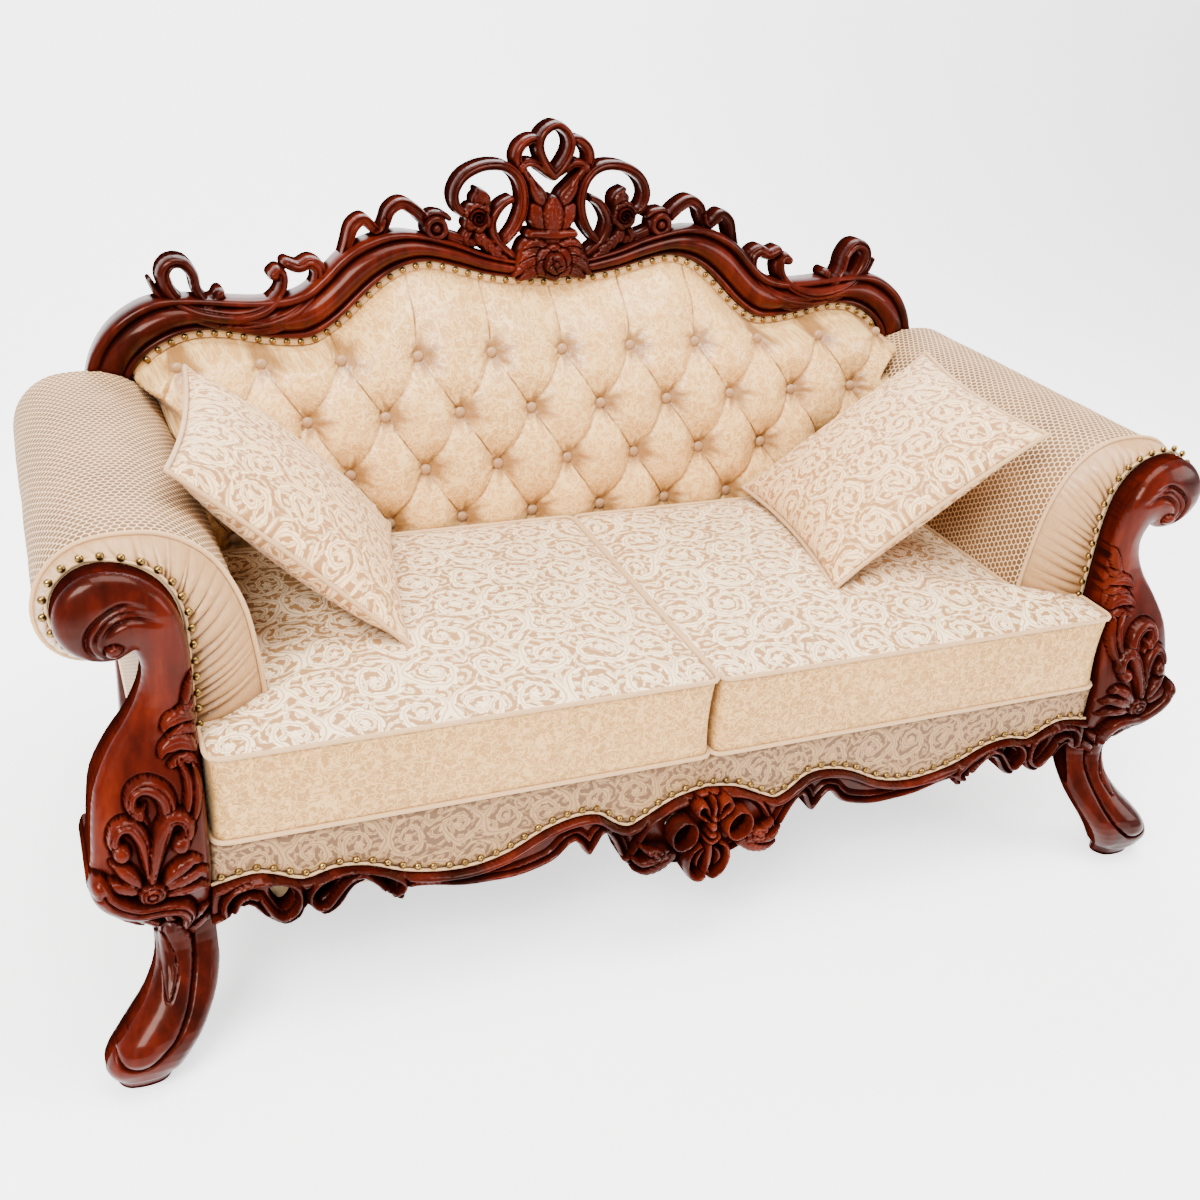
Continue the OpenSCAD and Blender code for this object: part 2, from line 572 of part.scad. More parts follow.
module back_pad() {
  w = 45;
  h = pad_steps + 1;
  o = w * h;
  front = [for (j = [0:pad_steps]) for (i = [0:44]) pad_point(i, j)];
  back = [for (p = front) let (v = hinge_z + (p[2] - hinge_z) / cos(recline) + crest_t * tan(recline))
    [p[0], leant(crest_t - 0.1, v)[0], p[2]]];
  wall = concat([for (i = [0:43]) each [[i, i + 1, o + i + 1], [i, o + i + 1, o + i]]],
    [for (i = [0:43]) let (a = pad_steps * w + i) each [[a + 1, a, o + a], [a + 1, o + a, o + a + 1]]],
    [for (j = [0:pad_steps - 1]) let (a = j * w) each [[a + w, a, o + a], [a + w, o + a, o + a + w]]],
    [for (j = [0:pad_steps - 1]) let (a = j * w + 44) each [[a, a + w, o + a + w], [a, o + a + w, o + a]]]);
  // The rear is one plane: tall strips in the middle, small cells towards the slanting sides
  last = o + pad_steps * w;
  strips = concat([for (i = [4:39]) [o + i, o + i + 1, last + i + 1, last + i]],
    [concat([o + 4, last + 4], [for (j = [pad_steps:-1:0]) o + j * w + 3])],
    [concat([o + 40], [for (j = [0:pad_steps]) o + j * w + 41], [last + 40])]);
  sides = concat(cells(pad_steps, 3, o, w, true), cells(pad_steps, 3, o + 41, w, true));
  color(satin) polyhedron(concat(front, back),
    concat(cells(pad_steps, w - 1, 0, w, false), wall, strips, sides));
}
tufts = [for (r = [0:3]) for (k = [-5:5]) let (x = (k + (r % 2) / 2) * tuft_pitch,
  z = tuft_top - r * tuft_row) if (abs(x) < side_x(z) - 2 * button_r) [x, z]];
module back_buttons() {
  color(satin) for (q = tufts) translate([q[0], pad_front(q[0], q[1], pad_top(q[0])), q[1]])
    rotate([90, 0, 0]) {
      translate([0, 0, 1]) cylinder(r = 1, h = 10.5, $fn = 8);
      translate([0, 0, 11.5]) cylinder(r = button_r, h = button_t, $fn = 12);
    }
}
panel_v = leg_h + 8;
function panel(d) = let (e = shift(crest_in, d)) concat([[stile_in + d, panel_v]], flip(e),
  [for (i = [1:len(e) - 1]) mir(e)[i]], [[-stile_in - d, panel_v]]);
module back_board() {
  color("burlywood") leaning() slab(crest_t, crest_t + board_t) polygon(panel(14));
}
module outside_back() {
  color(damask) leaning() slab(crest_t + board_t, crest_t + board_t + 3) polygon(panel(16));
}
gimp_line = above_arm(crest_in);
module back_gimp() {
  color(satin) leaning() slab(0.5, 3.5) bead(gimp_line, -0.5 - gimp_w / 2, gimp_w);
}
module back_nails() {
  m = shift(gimp_line, -0.5 - gimp_w / 2);
  line = concat(flip(mir(m)), [for (i = [1:len(m) - 1]) m[i]]);
  color(brass) leaning() for (q = spaced(line, nail_pitch)) translate([q[0], 0, q[1]]) nail(0.5);
}

// Seat cushion: T-shaped in plan, drawn in between its corners, crowned on top
ear_back = post_back - 7;
cushion_rows = [0, 20, 48, cushion_nose + post_t - 7, cushion_nose + post_t + 4,
  cushion_nose + post_t + ruche_d - 8, cushion_nose + post_t + ruche_d + 50, 245, 320, 390, 455, 515,
  cushion_d - 14, cushion_d];
function cushion_side(y) = lookup(y, [[0, post_in - 5], [cushion_rows[3], post_in - 5],
  [cushion_rows[4], xin + 44], [cushion_rows[5], xin - piping_t - 1.5], [cushion_d, xin - 3]]);
cn = 14;
cm = len(cushion_rows) - 1;
function swell(s) = pow(max(0, 1 - pow(abs(2 * s - 1), 3.2)), 0.8);
function cushion_point(i, j, d, z) = let (s = i / cn, t = cushion_rows[j],
    x0 = cushion_gap / 2, x1 = cushion_side(t), x = x0 + (x1 - x0) * s,
    y = cushion_y + t + (j == 0 ? 3 * sin(180 * s) : 0),
    px = i == 0 ? d + 0.5 * sin(180 * j / cm) : i == cn ? -d - 2 * sin(180 * j / cm) : 0,
    py = j == 0 ? d : j == cm ? -d : 0) [x + px, y + py, z];
cushion_rim = concat([for (i = [0:cn - 1]) [i, 0]], [for (j = [0:cm - 1]) [cn, j]],
  [for (i = [cn:-1:1]) [i, cm]], [for (j = [cm:-1:1]) [0, j]]);
function rim_faces(a, b) = let (m = len(a)) [for (k = [0:m - 1]) let (n = (k + 1) % m)
  each [[a[k], a[n], b[n]], [a[k], b[n], b[k]]]];
module cushion_form() {
  w = cn + 1;
  g = w * (cm + 1);
  m = len(cushion_rim);
  top = [for (j = [0:cm]) for (i = [0:cn])
    cushion_point(i, j, 0, seam_hi + cushion_crown * swell(i / cn) * swell(cushion_rows[j] / cushion_d))];
  low = [for (j = [0:cm]) for (i = [0:cn]) cushion_point(i, j, 6, deck_h + rest)];
  mids = [for (q = cushion_rim) cushion_point(q[0], q[1], 2, (seam_lo + seam_hi) / 2)];
  foot = [for (q = cushion_rim) cushion_point(q[0], q[1], 0, seam_lo)];
  at = [for (q = cushion_rim) q[1] * w + q[0]];
  polyhedron(concat(top, low, mids, foot), concat(
    [for (f = cells(cm, cn, 0, w, true)) [f[0], f[2], f[1]]],
    [for (f = cells(cm, cn, g, w, false)) [f[0], f[2], f[1]]],
    rim_faces(at, [for (k = [0:m - 1]) 2 * g + k]),
    rim_faces([for (k = [0:m - 1]) 2 * g + k], [for (k = [0:m - 1]) 2 * g + m + k]),
    rim_faces([for (k = [0:m - 1]) 2 * g + m + k], [for (k = at) g + k])));
}
module core_box(d) {
  translate([30 + d, cushion_y + cushion_nose + d, seam_lo + 12 + d])
    cube([xin - 60 - 2 * d, cushion_d - cushion_nose - 30 - 2 * d, cushion_t - 24 - 2 * d]);
}
module seat_cushion(side) {
  color(damask) on_side(side) difference() {
    cushion_form();
    core_box(0);
  }
}
module seat_core(side) {
  color("khaki") on_side(side) core_box(rest);
}

// Throw pillow: two crowned faces meeting at a seam whose sides are drawn in
pn = 14;
function pillow_point(i, j, sgn) = let (u = 2 * i / pn - 1, v = 2 * j / pn - 1,
    a = pillow_w / 2, p = 0.07, x = a * u * (1 - p * (1 - v * v) * abs(u)),
    z = a * v * (1 - p * (1 - u * u) * abs(v)), f = (1 - pow(abs(u), 2.4)) * (1 - pow(abs(v), 2.4)))
  [x, sgn * (pillow_t / 2 * pow(max(0, f), 0.55)), z];
module pillow_form() {
  w = pn + 1;
  g = w * w;
  rim = concat([for (i = [0:pn - 1]) [i, 0]], [for (j = [0:pn - 1]) [pn, j]],
    [for (i = [pn:-1:1]) [i, pn]], [for (j = [pn:-1:1]) [0, j]]);
  at = [for (q = rim) q[1] * w + q[0]];
  faces = [for (j = [0:pn]) for (i = [0:pn]) pillow_point(i, j, -1) - [0, 2, 0]];
  backs = [for (j = [0:pn]) for (i = [0:pn]) pillow_point(i, j, 1) + [0, 2, 0]];
  polyhedron(concat(faces, backs), concat(cells(pn, pn, 0, w, false), cells(pn, pn, g, w, true),
    rim_faces(at, [for (k = at) g + k])));
}
module insert_box(d) {
  a = pillow_w * 0.36 - d;
  b = pillow_t * 0.24 - d;
  translate([-a, -b, -a]) cube([2 * a, 2 * b, 2 * a]);
}
// Each pillow leans on its arm, its lower edge on the seat cushion
module pillow_place(side) {
  lean = side < 0 ? pillow_lean_left : pillow_lean_right;
  reach = side < 0 ? 96 : 142;
  turn = side < 0 ? -11 : -7.5;
  y = side < 0 ? 22 : -29;
  lift = side < 0 ? 151.9 : 145.4;
  translate([side * (xin - reach), yf + frame_d / 2 + y, seam_hi + lift]) rotate([0, 0, turn])
    rotate([0, side < 0 ? lean : -lean, 0]) rotate([-90, 0, 90]) children();
}
module pillow(side) {
  color(damask) pillow_place(side) difference() {
    pillow_form();
    insert_box(0);
  }
}
module pillow_insert(side) {
  color("white") pillow_place(side) insert_box(rest);
}

front_post(-1);  // front_post_left
front_post(1);  // front_post_right
back_leg(-1);  // back_leg_left
back_leg(1);  // back_leg_right
front_rail();
back_rail();
side_rail(-1);  // side_rail_left
side_rail(1);  // side_rail_right
centre_stretcher();
corner_blocks();
corner_screws();
seat_springs();
spring_clips();
seat_deck();
front_border();
apron_rail();
apron_cartouche();
apron_nails();
arm_frame(-1);  // arm_frame_left
arm_frame(1);  // arm_frame_right
arm_pad(-1);  // arm_pad_left
arm_pad(1);  // arm_pad_right
arm_outside(-1);  // arm_outside_left
arm_outside(1);  // arm_outside_right
arm_ruche(-1);  // arm_ruche_left
arm_ruche(1);  // arm_ruche_right
arm_piping(-1);  // arm_piping_left
arm_piping(1);  // arm_piping_right
arm_nails(-1);  // arm_nails_left
arm_nails(1);  // arm_nails_right
crest_rail();
crest_cartouche();
crest_scroll(-1);  // crest_scroll_left
crest_scroll(1);  // crest_scroll_right
crest_ribbon(-1);  // crest_ribbon_left
crest_ribbon(1);  // crest_ribbon_right
crest_leaf(-1);  // crest_leaf_left
crest_leaf(1);  // crest_leaf_right
back_pad();
back_buttons();
back_board();
back_gimp();
outside_back();
back_nails();
seat_cushion(-1);  // seat_cushion_left
seat_cushion(1);  // seat_cushion_right
seat_core(-1);  // seat_core_left
seat_core(1);  // seat_core_right
pillow(-1);  // pillow_left
pillow(1);  // pillow_right
pillow_insert(-1);  // pillow_insert_left
pillow_insert(1);  // pillow_insert_right
dust_cover();
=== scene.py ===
"""Carved mahogany two-seater sofa with a buttoned back, scroll arms, loose cushions and pillows.

Lengths are in millimetres up to the point where a mesh is made, and repeat part.scad's outlines.
"""
import math

import bmesh
import bpy
import numpy as np
from mathutils import Matrix, Vector, noise


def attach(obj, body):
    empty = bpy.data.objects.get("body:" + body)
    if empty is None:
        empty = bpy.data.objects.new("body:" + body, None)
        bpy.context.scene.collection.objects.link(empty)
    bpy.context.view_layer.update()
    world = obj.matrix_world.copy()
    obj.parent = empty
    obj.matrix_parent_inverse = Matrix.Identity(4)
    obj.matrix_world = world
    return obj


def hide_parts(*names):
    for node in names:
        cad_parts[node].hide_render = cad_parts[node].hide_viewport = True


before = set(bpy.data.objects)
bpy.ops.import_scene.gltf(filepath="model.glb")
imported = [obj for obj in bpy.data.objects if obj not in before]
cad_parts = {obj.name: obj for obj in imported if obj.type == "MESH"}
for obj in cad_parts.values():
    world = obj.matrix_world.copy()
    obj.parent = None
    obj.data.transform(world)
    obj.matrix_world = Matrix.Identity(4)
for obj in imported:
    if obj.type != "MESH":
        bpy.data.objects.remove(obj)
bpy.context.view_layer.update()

MM = 0.001

# Measures of the sofa, as in part.scad
SEAT_HALF = 604.0
POST_IN = 700.0
RAIL_FACE = -345.0
CREST_FACE = 345.0
LEAN = math.radians(1.7)
LEAN_AXIS_Z = 500.0
RAIL_TOP = 280.0
DECK_H = 325.0
JOINT_H = 640.0
ARM_H = 705.0
VOLUTE_X = POST_IN + 92
VOLUTE_Z = 638.0
VOLUTE_R = 57.0
POST_BACK = -293.0
ARM_FRONT = -250.0
APRON_FACE = -385.0
SEAM_LOW = 328.0
SEAM_HIGH = 454.0
CUSHION_FRONT = -375.0
CUSHION_D = 563.0
CUSHION_CROWN = 20.0
PAD_Y = 193.0
BORDER_FACE = -366.5
CREST_T = 45.0
PAD_HALF = 688.0
BACK_LEG_IN = 695.0
BACK_LEG_OUT = 752.0
PILLOW_HALF = 200.0
PILLOW_CROWN = 54.52
EDGE_CORD_R = 2.2
NAIL_R = 5.5
NAIL_PITCH = 22.5
TUFT_PITCH = 125.0
TUFT_ROW = 87.0
TUFT_TOP = 722.0
TUFT_DEPTH = 26.0


def smooth(points, steps=3):
    """A curve through the points, with so many steps from each to the next."""
    p = np.asarray(points, float)
    last = len(p) - 1
    out = []
    for i in range(last):
        a, b, c, d = p[max(i - 1, 0)], p[i], p[i + 1], p[min(i + 2, last)]
        for k in range(steps):
            t = k / steps
            out.append(0.5 * (2 * b + (c - a) * t + (2 * a - 5 * b + 4 * c - d) * t * t
                              + (3 * b - a - 3 * c + d) * t ** 3))
    return np.array(out + [p[last]])


def mirrored(line):
    return np.asarray(line, float) * [-1, 1]


def normals(line):
    d = np.gradient(line, axis=0)
    n = np.stack([-d[:, 1], d[:, 0]], 1)
    return n / np.maximum(np.linalg.norm(n, axis=1, keepdims=True), 1e-9)


def shifted(line, distance):
    return line + normals(line) * distance


def lengths(line):
    return np.concatenate([[0], np.cumsum(np.linalg.norm(np.diff(line, axis=0), axis=1))])


def spread(line, count):
    """count + 1 points at equal distances along the line."""
    s = lengths(line)
    at = np.linspace(0, s[-1], count + 1)
    return np.stack([np.interp(at, s, line[:, k]) for k in range(line.shape[1])], 1)


def spread_round(ring, count):
    """count points at equal distances round a closed line."""
    return spread(np.concatenate([ring, ring[:1]]), count)[:-1]


def across(half):
    """The whole line from its right half: the left half, turned round, and then the right."""
    return np.concatenate([mirrored(half)[::-1], half[1:]])


def leant(x, y, v):
    """A point of the leaning plane of the back, y behind the crest rail's face."""
    return np.stack([x, CREST_FACE + y * math.cos(LEAN) + (v - LEAN_AXIS_Z) * math.sin(LEAN),
                     LEAN_AXIS_Z - y * math.sin(LEAN) + (v - LEAN_AXIS_Z) * math.cos(LEAN)], -1)


def upright(x, y, z):
    return np.stack([x, y, z], -1)


def stood_at(line, y, hand=1):
    """A flat line stood up at this depth, on this hand's side."""
    return upright(line[:, 0] * hand, np.full(len(line), y), line[:, 1])


def leant_at(line, y):
    """A flat line in the plane of the back, this far behind the crest's face."""
    return leant(line[:, 0], np.full(len(line), y), line[:, 1])


def on_side(hand, start=0.0):
    """Puts points drawn for the right side, from this start outwards, on the hand's side."""
    return lambda points: (np.asarray(points, float) + [start, 0]) * [hand, 1]


pieces = {}


def placed(name, data):
    """A new object of this name in the scene, at the origin."""
    thing = bpy.data.objects.new(name, data)
    bpy.context.scene.collection.objects.link(thing)
    return thing


def solid(name, points, faces, material, body="root", uv=None, marks=None, soft_edge=None):
    """An object from points in millimetres; uv and marks hold a value for each point."""
    mesh = bpy.data.meshes.new(name)
    mesh.from_pydata((np.asarray(points) * MM).tolist(), [], faces)
    if uv is not None:
        layer = mesh.uv_layers.new(name="UVMap")
        index = np.empty(len(mesh.loops), dtype=np.int32)
        mesh.loops.foreach_get("vertex_index", index)
        layer.data.foreach_set("uv", np.asarray(uv, dtype=np.float32)[index].ravel())
    for key, values in (marks or {}).items():
        layer = mesh.attributes.new(key, "FLOAT", "POINT")
        layer.data.foreach_set("value", np.asarray(values, dtype=np.float32))
    mesh.validate()
    mesh.shade_smooth()
    if soft_edge:
        mesh.set_sharp_from_angle(angle=math.radians(soft_edge))
    mesh.materials.append(material)
    piece = placed(name, mesh)
    pieces[name] = (piece, body)
    return piece


def grid_faces(rows, columns, wrap=False, turned=False):
    """Quads over a grid of rows by columns of points; wrap joins the last column to the first."""
    faces = []
    for j in range(rows - 1):
        for i in range(columns if wrap else columns - 1):
            a, b = j * columns + i, j * columns + (i + 1) % columns
            quad = (a, b, b + columns, a + columns)
            faces.append(quad[::-1] if turned else quad)
    return faces


def loft_faces(rows, columns, turned=False):
    """The faces of a closed loft: its skin and its two ends."""
    ends = [tuple(range(columns))[::-1], tuple(range((rows - 1) * columns, rows * columns))]
    return grid_faces(rows, columns, wrap=True, turned=turned) + [
        end[::-1] if turned else end for end in ends]


def apply_modifiers(piece):
    """Turns an object with live modifiers into its plain mesh."""
    depsgraph = bpy.context.evaluated_depsgraph_get()
    mesh = bpy.data.meshes.new_from_object(piece.evaluated_get(depsgraph), depsgraph=depsgraph)
    piece.modifiers.clear()
    mesh.name = piece.data.name
    piece.data = mesh
    return piece


def thin_out(piece, share):
    """Keeps this share of the piece's triangles, most of them where it is carved."""
    mod = piece.modifiers.new("thin", "DECIMATE")
    mod.ratio = share
    return apply_modifiers(piece)


CUT_LINE = 2.5


class Carving:
    """A pierced relief: how far inside the wood each grid point lies, and how high its face is."""

    def __init__(self, x0, x1, z0, z1, pitch, wider=0.0):
        self.pitch = pitch
        self.wider = wider
        self.x = np.arange(x0, x1 + pitch, pitch)
        self.z = np.arange(z0, z1 + pitch, pitch)
        self.X, self.Z = np.meshgrid(self.x, self.z)
        self.inside = np.full(self.X.shape, -50.0)
        self.height = np.zeros(self.X.shape)
        self.soft = None

    def board(self, outline, height=0.0):
        """Adds a flat board of this outline."""
        d = self.distance_in(outline)
        self.height = np.where((d > 0) & (self.inside <= 0), height, self.height)
        self.inside = np.maximum(self.inside, d)

    def cut(self, outline):
        self.inside = np.minimum(self.inside, -self.distance_in(outline))

    def distance_in(self, outline):
        """Signed distance to a closed outline, positive inside."""
        p = np.asarray(outline, float)
        q = np.roll(p, -1, 0)
        best = np.full(self.X.shape, 1e9)
        odd = np.zeros(self.X.shape, bool)
        for (ax, az), (bx, bz) in zip(p, q):
            ex, ez = bx - ax, bz - az
            size = ex * ex + ez * ez
            if size < 1e-12:
                continue
            t = np.clip(((self.X - ax) * ex + (self.Z - az) * ez) / size, 0, 1)
            best = np.minimum(best, (self.X - ax - t * ex) ** 2 + (self.Z - az - t * ez) ** 2)
            if az != bz:
                hit = ((az > self.Z) != (bz > self.Z)) & (
                    self.X < (self.Z - az) * ex / (bz - az) + ax)
                odd ^= hit
        d = np.sqrt(best)
        return np.where(odd, d, -d)

    def stroke(self, path, widths, profile, lift=0.0, rise=8.0, cuts=True, line=CUT_LINE, steps=5,
               groove=2.5):
        """Lays a carved band along a path; widths are whole widths, spread along it.

        profile(t, s) gives the height from 0 to 1 at t from -1 to 1 across and s from 0 to 1
        along. A stroke with cuts set adds its own outline to the wood. A groove is cut round it, which the
        painted shade of the hollows darkens.
        """
        path = smooth(path, steps) if len(path) > 2 else np.asarray(path, float)
        widths = [w + self.wider * cuts for w in widths]
        run = lengths(path)
        total = run[-1]
        keys = np.linspace(0, total, len(widths))
        reach = max(widths) / 2 + line + 3
        lo, hi = path.min(0) - reach, path.max(0) + reach
        i0, i1 = np.searchsorted(self.x, [lo[0], hi[0]])
        j0, j1 = np.searchsorted(self.z, [lo[1], hi[1]])
        if i1 <= i0 or j1 <= j0:
            return
        area = (slice(j0, j1), slice(i0, i1))
        X, Z = self.X[area], self.Z[area]
        score = np.full(X.shape, -1e9)
        T = np.zeros(X.shape)
        S = np.zeros(X.shape)
        for k in range(len(path) - 1):
            a, b = path[k], path[k + 1]
            e = b - a
            size = e.dot(e)
            if size < 1e-12:
                continue
            t = np.clip(((X - a[0]) * e[0] + (Z - a[1]) * e[1]) / size, 0, 1)
            dx, dz = X - a[0] - t * e[0], Z - a[1] - t * e[1]
            d = np.sqrt(dx * dx + dz * dz)
            s = run[k] + t * math.sqrt(size)
            w = np.interp(s, keys, widths) / 2
            better = w - d > score
            score = np.where(better, w - d, score)
            T = np.where(better, np.sign(e[0] * dz - e[1] * dx) * d / np.maximum(w, 0.3), T)
            S = np.where(better, s / total, S)
        height = self.height[area]
        within = score > 0
        shape = lift + rise * profile(np.clip(T, -1, 1), S)
        if groove and line:
            rim = np.clip(1 + score / line, 0, 1) * (score <= 0)
            height = height - groove * rim
        height = np.where(within, np.maximum(height, shape), height)
        self.height[area] = height
        if cuts:
            self.inside[area] = np.maximum(self.inside[area], score)

    def pair(self, path, *shape, **more):
        """The same stroke on the right and, mirrored, on the left of the centre line."""
        for hand in (1, -1):
            self.stroke(on_side(hand)(path), *shape, **more)

    def boss(self, centre, radii, turn=0.0, lift=0.0, rise=8.0, cuts=True, power=0.5, groove=2.0,
             petals=0, hollow=0.0):
        """A raised oval, with petals where their number is given."""
        c, s = math.cos(math.radians(turn)), math.sin(math.radians(turn))
        dx, dz = self.X - centre[0], self.Z - centre[1]
        u, v = (dx * c + dz * s) / radii[0], (-dx * s + dz * c) / radii[1]
        r = np.sqrt(u * u + v * v)
        a = np.arctan2(v, u)
        edge = 1.0
        if petals:
            edge = 1 - 0.25 * (1 - np.abs(np.cos(a * petals / 2)) ** 0.7)
        q = r / edge
        score = (1 - q) * min(radii)
        h = np.clip(1 - q * q, 0, 1) ** power
        if petals:
            h = h * (0.72 + 0.28 * np.abs(np.cos(a * petals / 2)) ** 0.8)
        if hollow:
            h = h - hollow * np.exp(-(r / 0.45) ** 2)
        rim = np.clip(1 + score / CUT_LINE, 0, 1) * (score <= 0)
        self.height = np.where(score > 0, np.maximum(self.height, lift + rise * h),
                               self.height - groove * rim)
        if cuts:
            self.inside = np.maximum(self.inside, score)

    def dent(self, path, width, depth, taper=0.0):
        """Presses a gouge of this width and depth along a path, fading over a share of each end."""
        path = smooth(path, 5) if len(path) > 2 else np.asarray(path, float)
        best = np.full(self.X.shape, 1e9)
        full = np.ones(self.X.shape)
        run = lengths(path)
        for k, (a, b) in enumerate(zip(path[:-1], path[1:])):
            e = b - a
            size = max(e.dot(e), 1e-9)
            t = np.clip(((self.X - a[0]) * e[0] + (self.Z - a[1]) * e[1]) / size, 0, 1)
            d = (self.X - a[0] - t * e[0]) ** 2 + (self.Z - a[1] - t * e[1]) ** 2
            if taper:
                s = (run[k] + t * math.sqrt(size)) / run[-1]
                full = np.where(d < best, np.clip(np.minimum(s, 1 - s) / taper, 0, 1), full)
            best = np.minimum(best, d)
        self.height = self.height - depth * full * np.exp(-best / (width / 2) ** 2)

    def mesh(self, name, material, face, rear, place=upright, edge=5.0, rear_edge=3.0, share=None,
             wall_shade=0.9):
        """The relief as a closed mesh. face and rear are depths in y, as numbers or fields."""
        height = blurred(self.height, 1)
        d = np.clip(self.inside if self.soft is None else self.soft, 0, None)
        fall = rounding(d, edge)
        front = face - height + fall
        back = np.maximum(rear - rounding(d, rear_edge), front + 1.0)
        # Painted shade in the hollows of the carving: how far the face lies below its blurred surroundings.
        painted_shade = np.clip((blurred(height - fall, max(1, int(5 / self.pitch))) - height + fall) / 4, 0, 1)
        nodes, faces = clipped(self.X, self.Z, self.inside, front, back, painted_shade, wall_shade)
        points = place(nodes[:, 0], nodes[:, 1], nodes[:, 2])
        piece = solid(name, points, faces, material, uv=nodes[:, [0, 2]] * MM,
                      marks={"painted_shade": nodes[:, 3], "wall": nodes[:, 4]})
        if share:
            thin_out(piece, share)
            piece.data.shade_smooth()
        # Normals weighed by area keep the long walls flat between the two rounded skins
        piece.data.set_sharp_from_angle(angle=math.radians(46))
        weigh = piece.modifiers.new("weigh", "WEIGHTED_NORMAL")
        weigh.keep_sharp = True
        return apply_modifiers(piece)


def blurred(field, steps):
    """The field with each point's value spread over its neighbours, a number of times."""
    out = field
    for _ in range(steps):
        p = np.pad(out, 1, mode="edge")
        out = (p[:-2, 1:-1] + p[2:, 1:-1] + p[1:-1, :-2] + p[1:-1, 2:] + 4 * p[1:-1, 1:-1]) / 8
    return out


def rounding(distance, radius):
    """How far a rounded edge falls back at a distance from the outline."""
    t = np.clip(1 - distance / radius, 0, 1)
    return radius * (1 - np.sqrt(np.clip(1 - t * t, 0, 1)))


def clipped(X, Z, F, front, back, painted_shade, wall_shade):
    """Marches over the grid: a front and a rear skin where F is positive, and walls between."""
    rows, cols = F.shape
    ins = F > 0
    any_in = ins[:-1, :-1] | ins[1:, :-1] | ins[:-1, 1:] | ins[1:, 1:]
    full = ins[:-1, :-1] & ins[1:, :-1] & ins[:-1, 1:] & ins[1:, 1:]
    index = np.full((rows, cols), -1)
    index[ins] = np.arange(ins.sum())
    base = int(ins.sum())
    cross_points = []
    crossing = {}

    def cross(j0, i0, j1, i1):
        key = (j0, i0, j1, i1)
        if key not in crossing:
            f0, f1 = F[j0, i0], F[j1, i1]
            t = float(np.clip(f0 / (f0 - f1), 0.02, 0.98))
            near = (j0, i0) if f0 > 0 else (j1, i1)
            crossing[key] = len(cross_points)
            cross_points.append((X[j0, i0] * (1 - t) + X[j1, i1] * t,
                                 Z[j0, i0] * (1 - t) + Z[j1, i1] * t,
                                 front[j0, i0] * (1 - t) + front[j1, i1] * t,
                                 back[j0, i0] * (1 - t) + back[j1, i1] * t, painted_shade[near]))
        return base + crossing[key]

    faces = np.stack([index[:-1, :-1][full], index[:-1, 1:][full], index[1:, 1:][full],
                      index[1:, :-1][full]], 1).tolist()
    walls = []
    jj, ii = np.nonzero(any_in & ~full)
    for j, i in zip(jj.tolist(), ii.tolist()):
        ring = [(j, i), (j, i + 1), (j + 1, i + 1), (j + 1, i)]
        poly = []
        flags = []
        for k in range(4):
            a, b = ring[k], ring[(k + 1) % 4]
            if ins[a]:
                poly.append(int(index[a]))
                flags.append(False)
            if ins[a] != ins[b]:
                lo, hi = (a, b) if a < b else (b, a)
                poly.append(cross(*lo, *hi))
                flags.append(True)
        faces.append(poly)
        m = len(poly)
        for k in range(m):
            n = (k + 1) % m
            # Two crossings in a row lie along the outline
            if flags[k] and flags[n]:
                walls.append((poly[k], poly[n]))
    inner = np.stack([X[ins], Z[ins], front[ins], back[ins], painted_shade[ins]], 1)
    px, pz, py, by, pp = np.concatenate([inner, np.reshape(cross_points, (-1, 5))]).T
    n = len(px)
    rim = np.arange(n) >= base
    # Painted shade: the front skin keeps the shade of its hollows, the rear skin takes a little, and the
    # rear edges of the walls take the amount set for them.
    nodes = np.concatenate([np.stack([px, py, pz, pp, 0.4 * rim], 1),
                            np.stack([px, by, pz, 0.2 + (wall_shade - 0.2) * rim, 1.0 * rim], 1)])
    faces += [[v + n for v in face][::-1] for face in faces]
    faces += [(b, a, a + n, b + n) for a, b in walls]
    return nodes, faces


class Signal:
    """A node's output, which can be added, multiplied and so on as a number can."""

    def __init__(self, tree, socket):
        self.tree, self.socket = tree, socket

    def __add__(self, other):
        return self.tree.maths("ADD", self, other)

    def __radd__(self, other):
        return self.tree.maths("ADD", other, self)

    def __sub__(self, other):
        return self.tree.maths("SUBTRACT", self, other)

    def __rsub__(self, other):
        return self.tree.maths("SUBTRACT", other, self)

    def __mul__(self, other):
        return self.tree.maths("MULTIPLY", self, other)

    def __truediv__(self, other):
        return self.tree.maths("DIVIDE", self, other)

    def __pow__(self, other):
        return self.tree.maths("POWER", self, other)

    def __abs__(self):
        return self.tree.maths("ABSOLUTE", self)


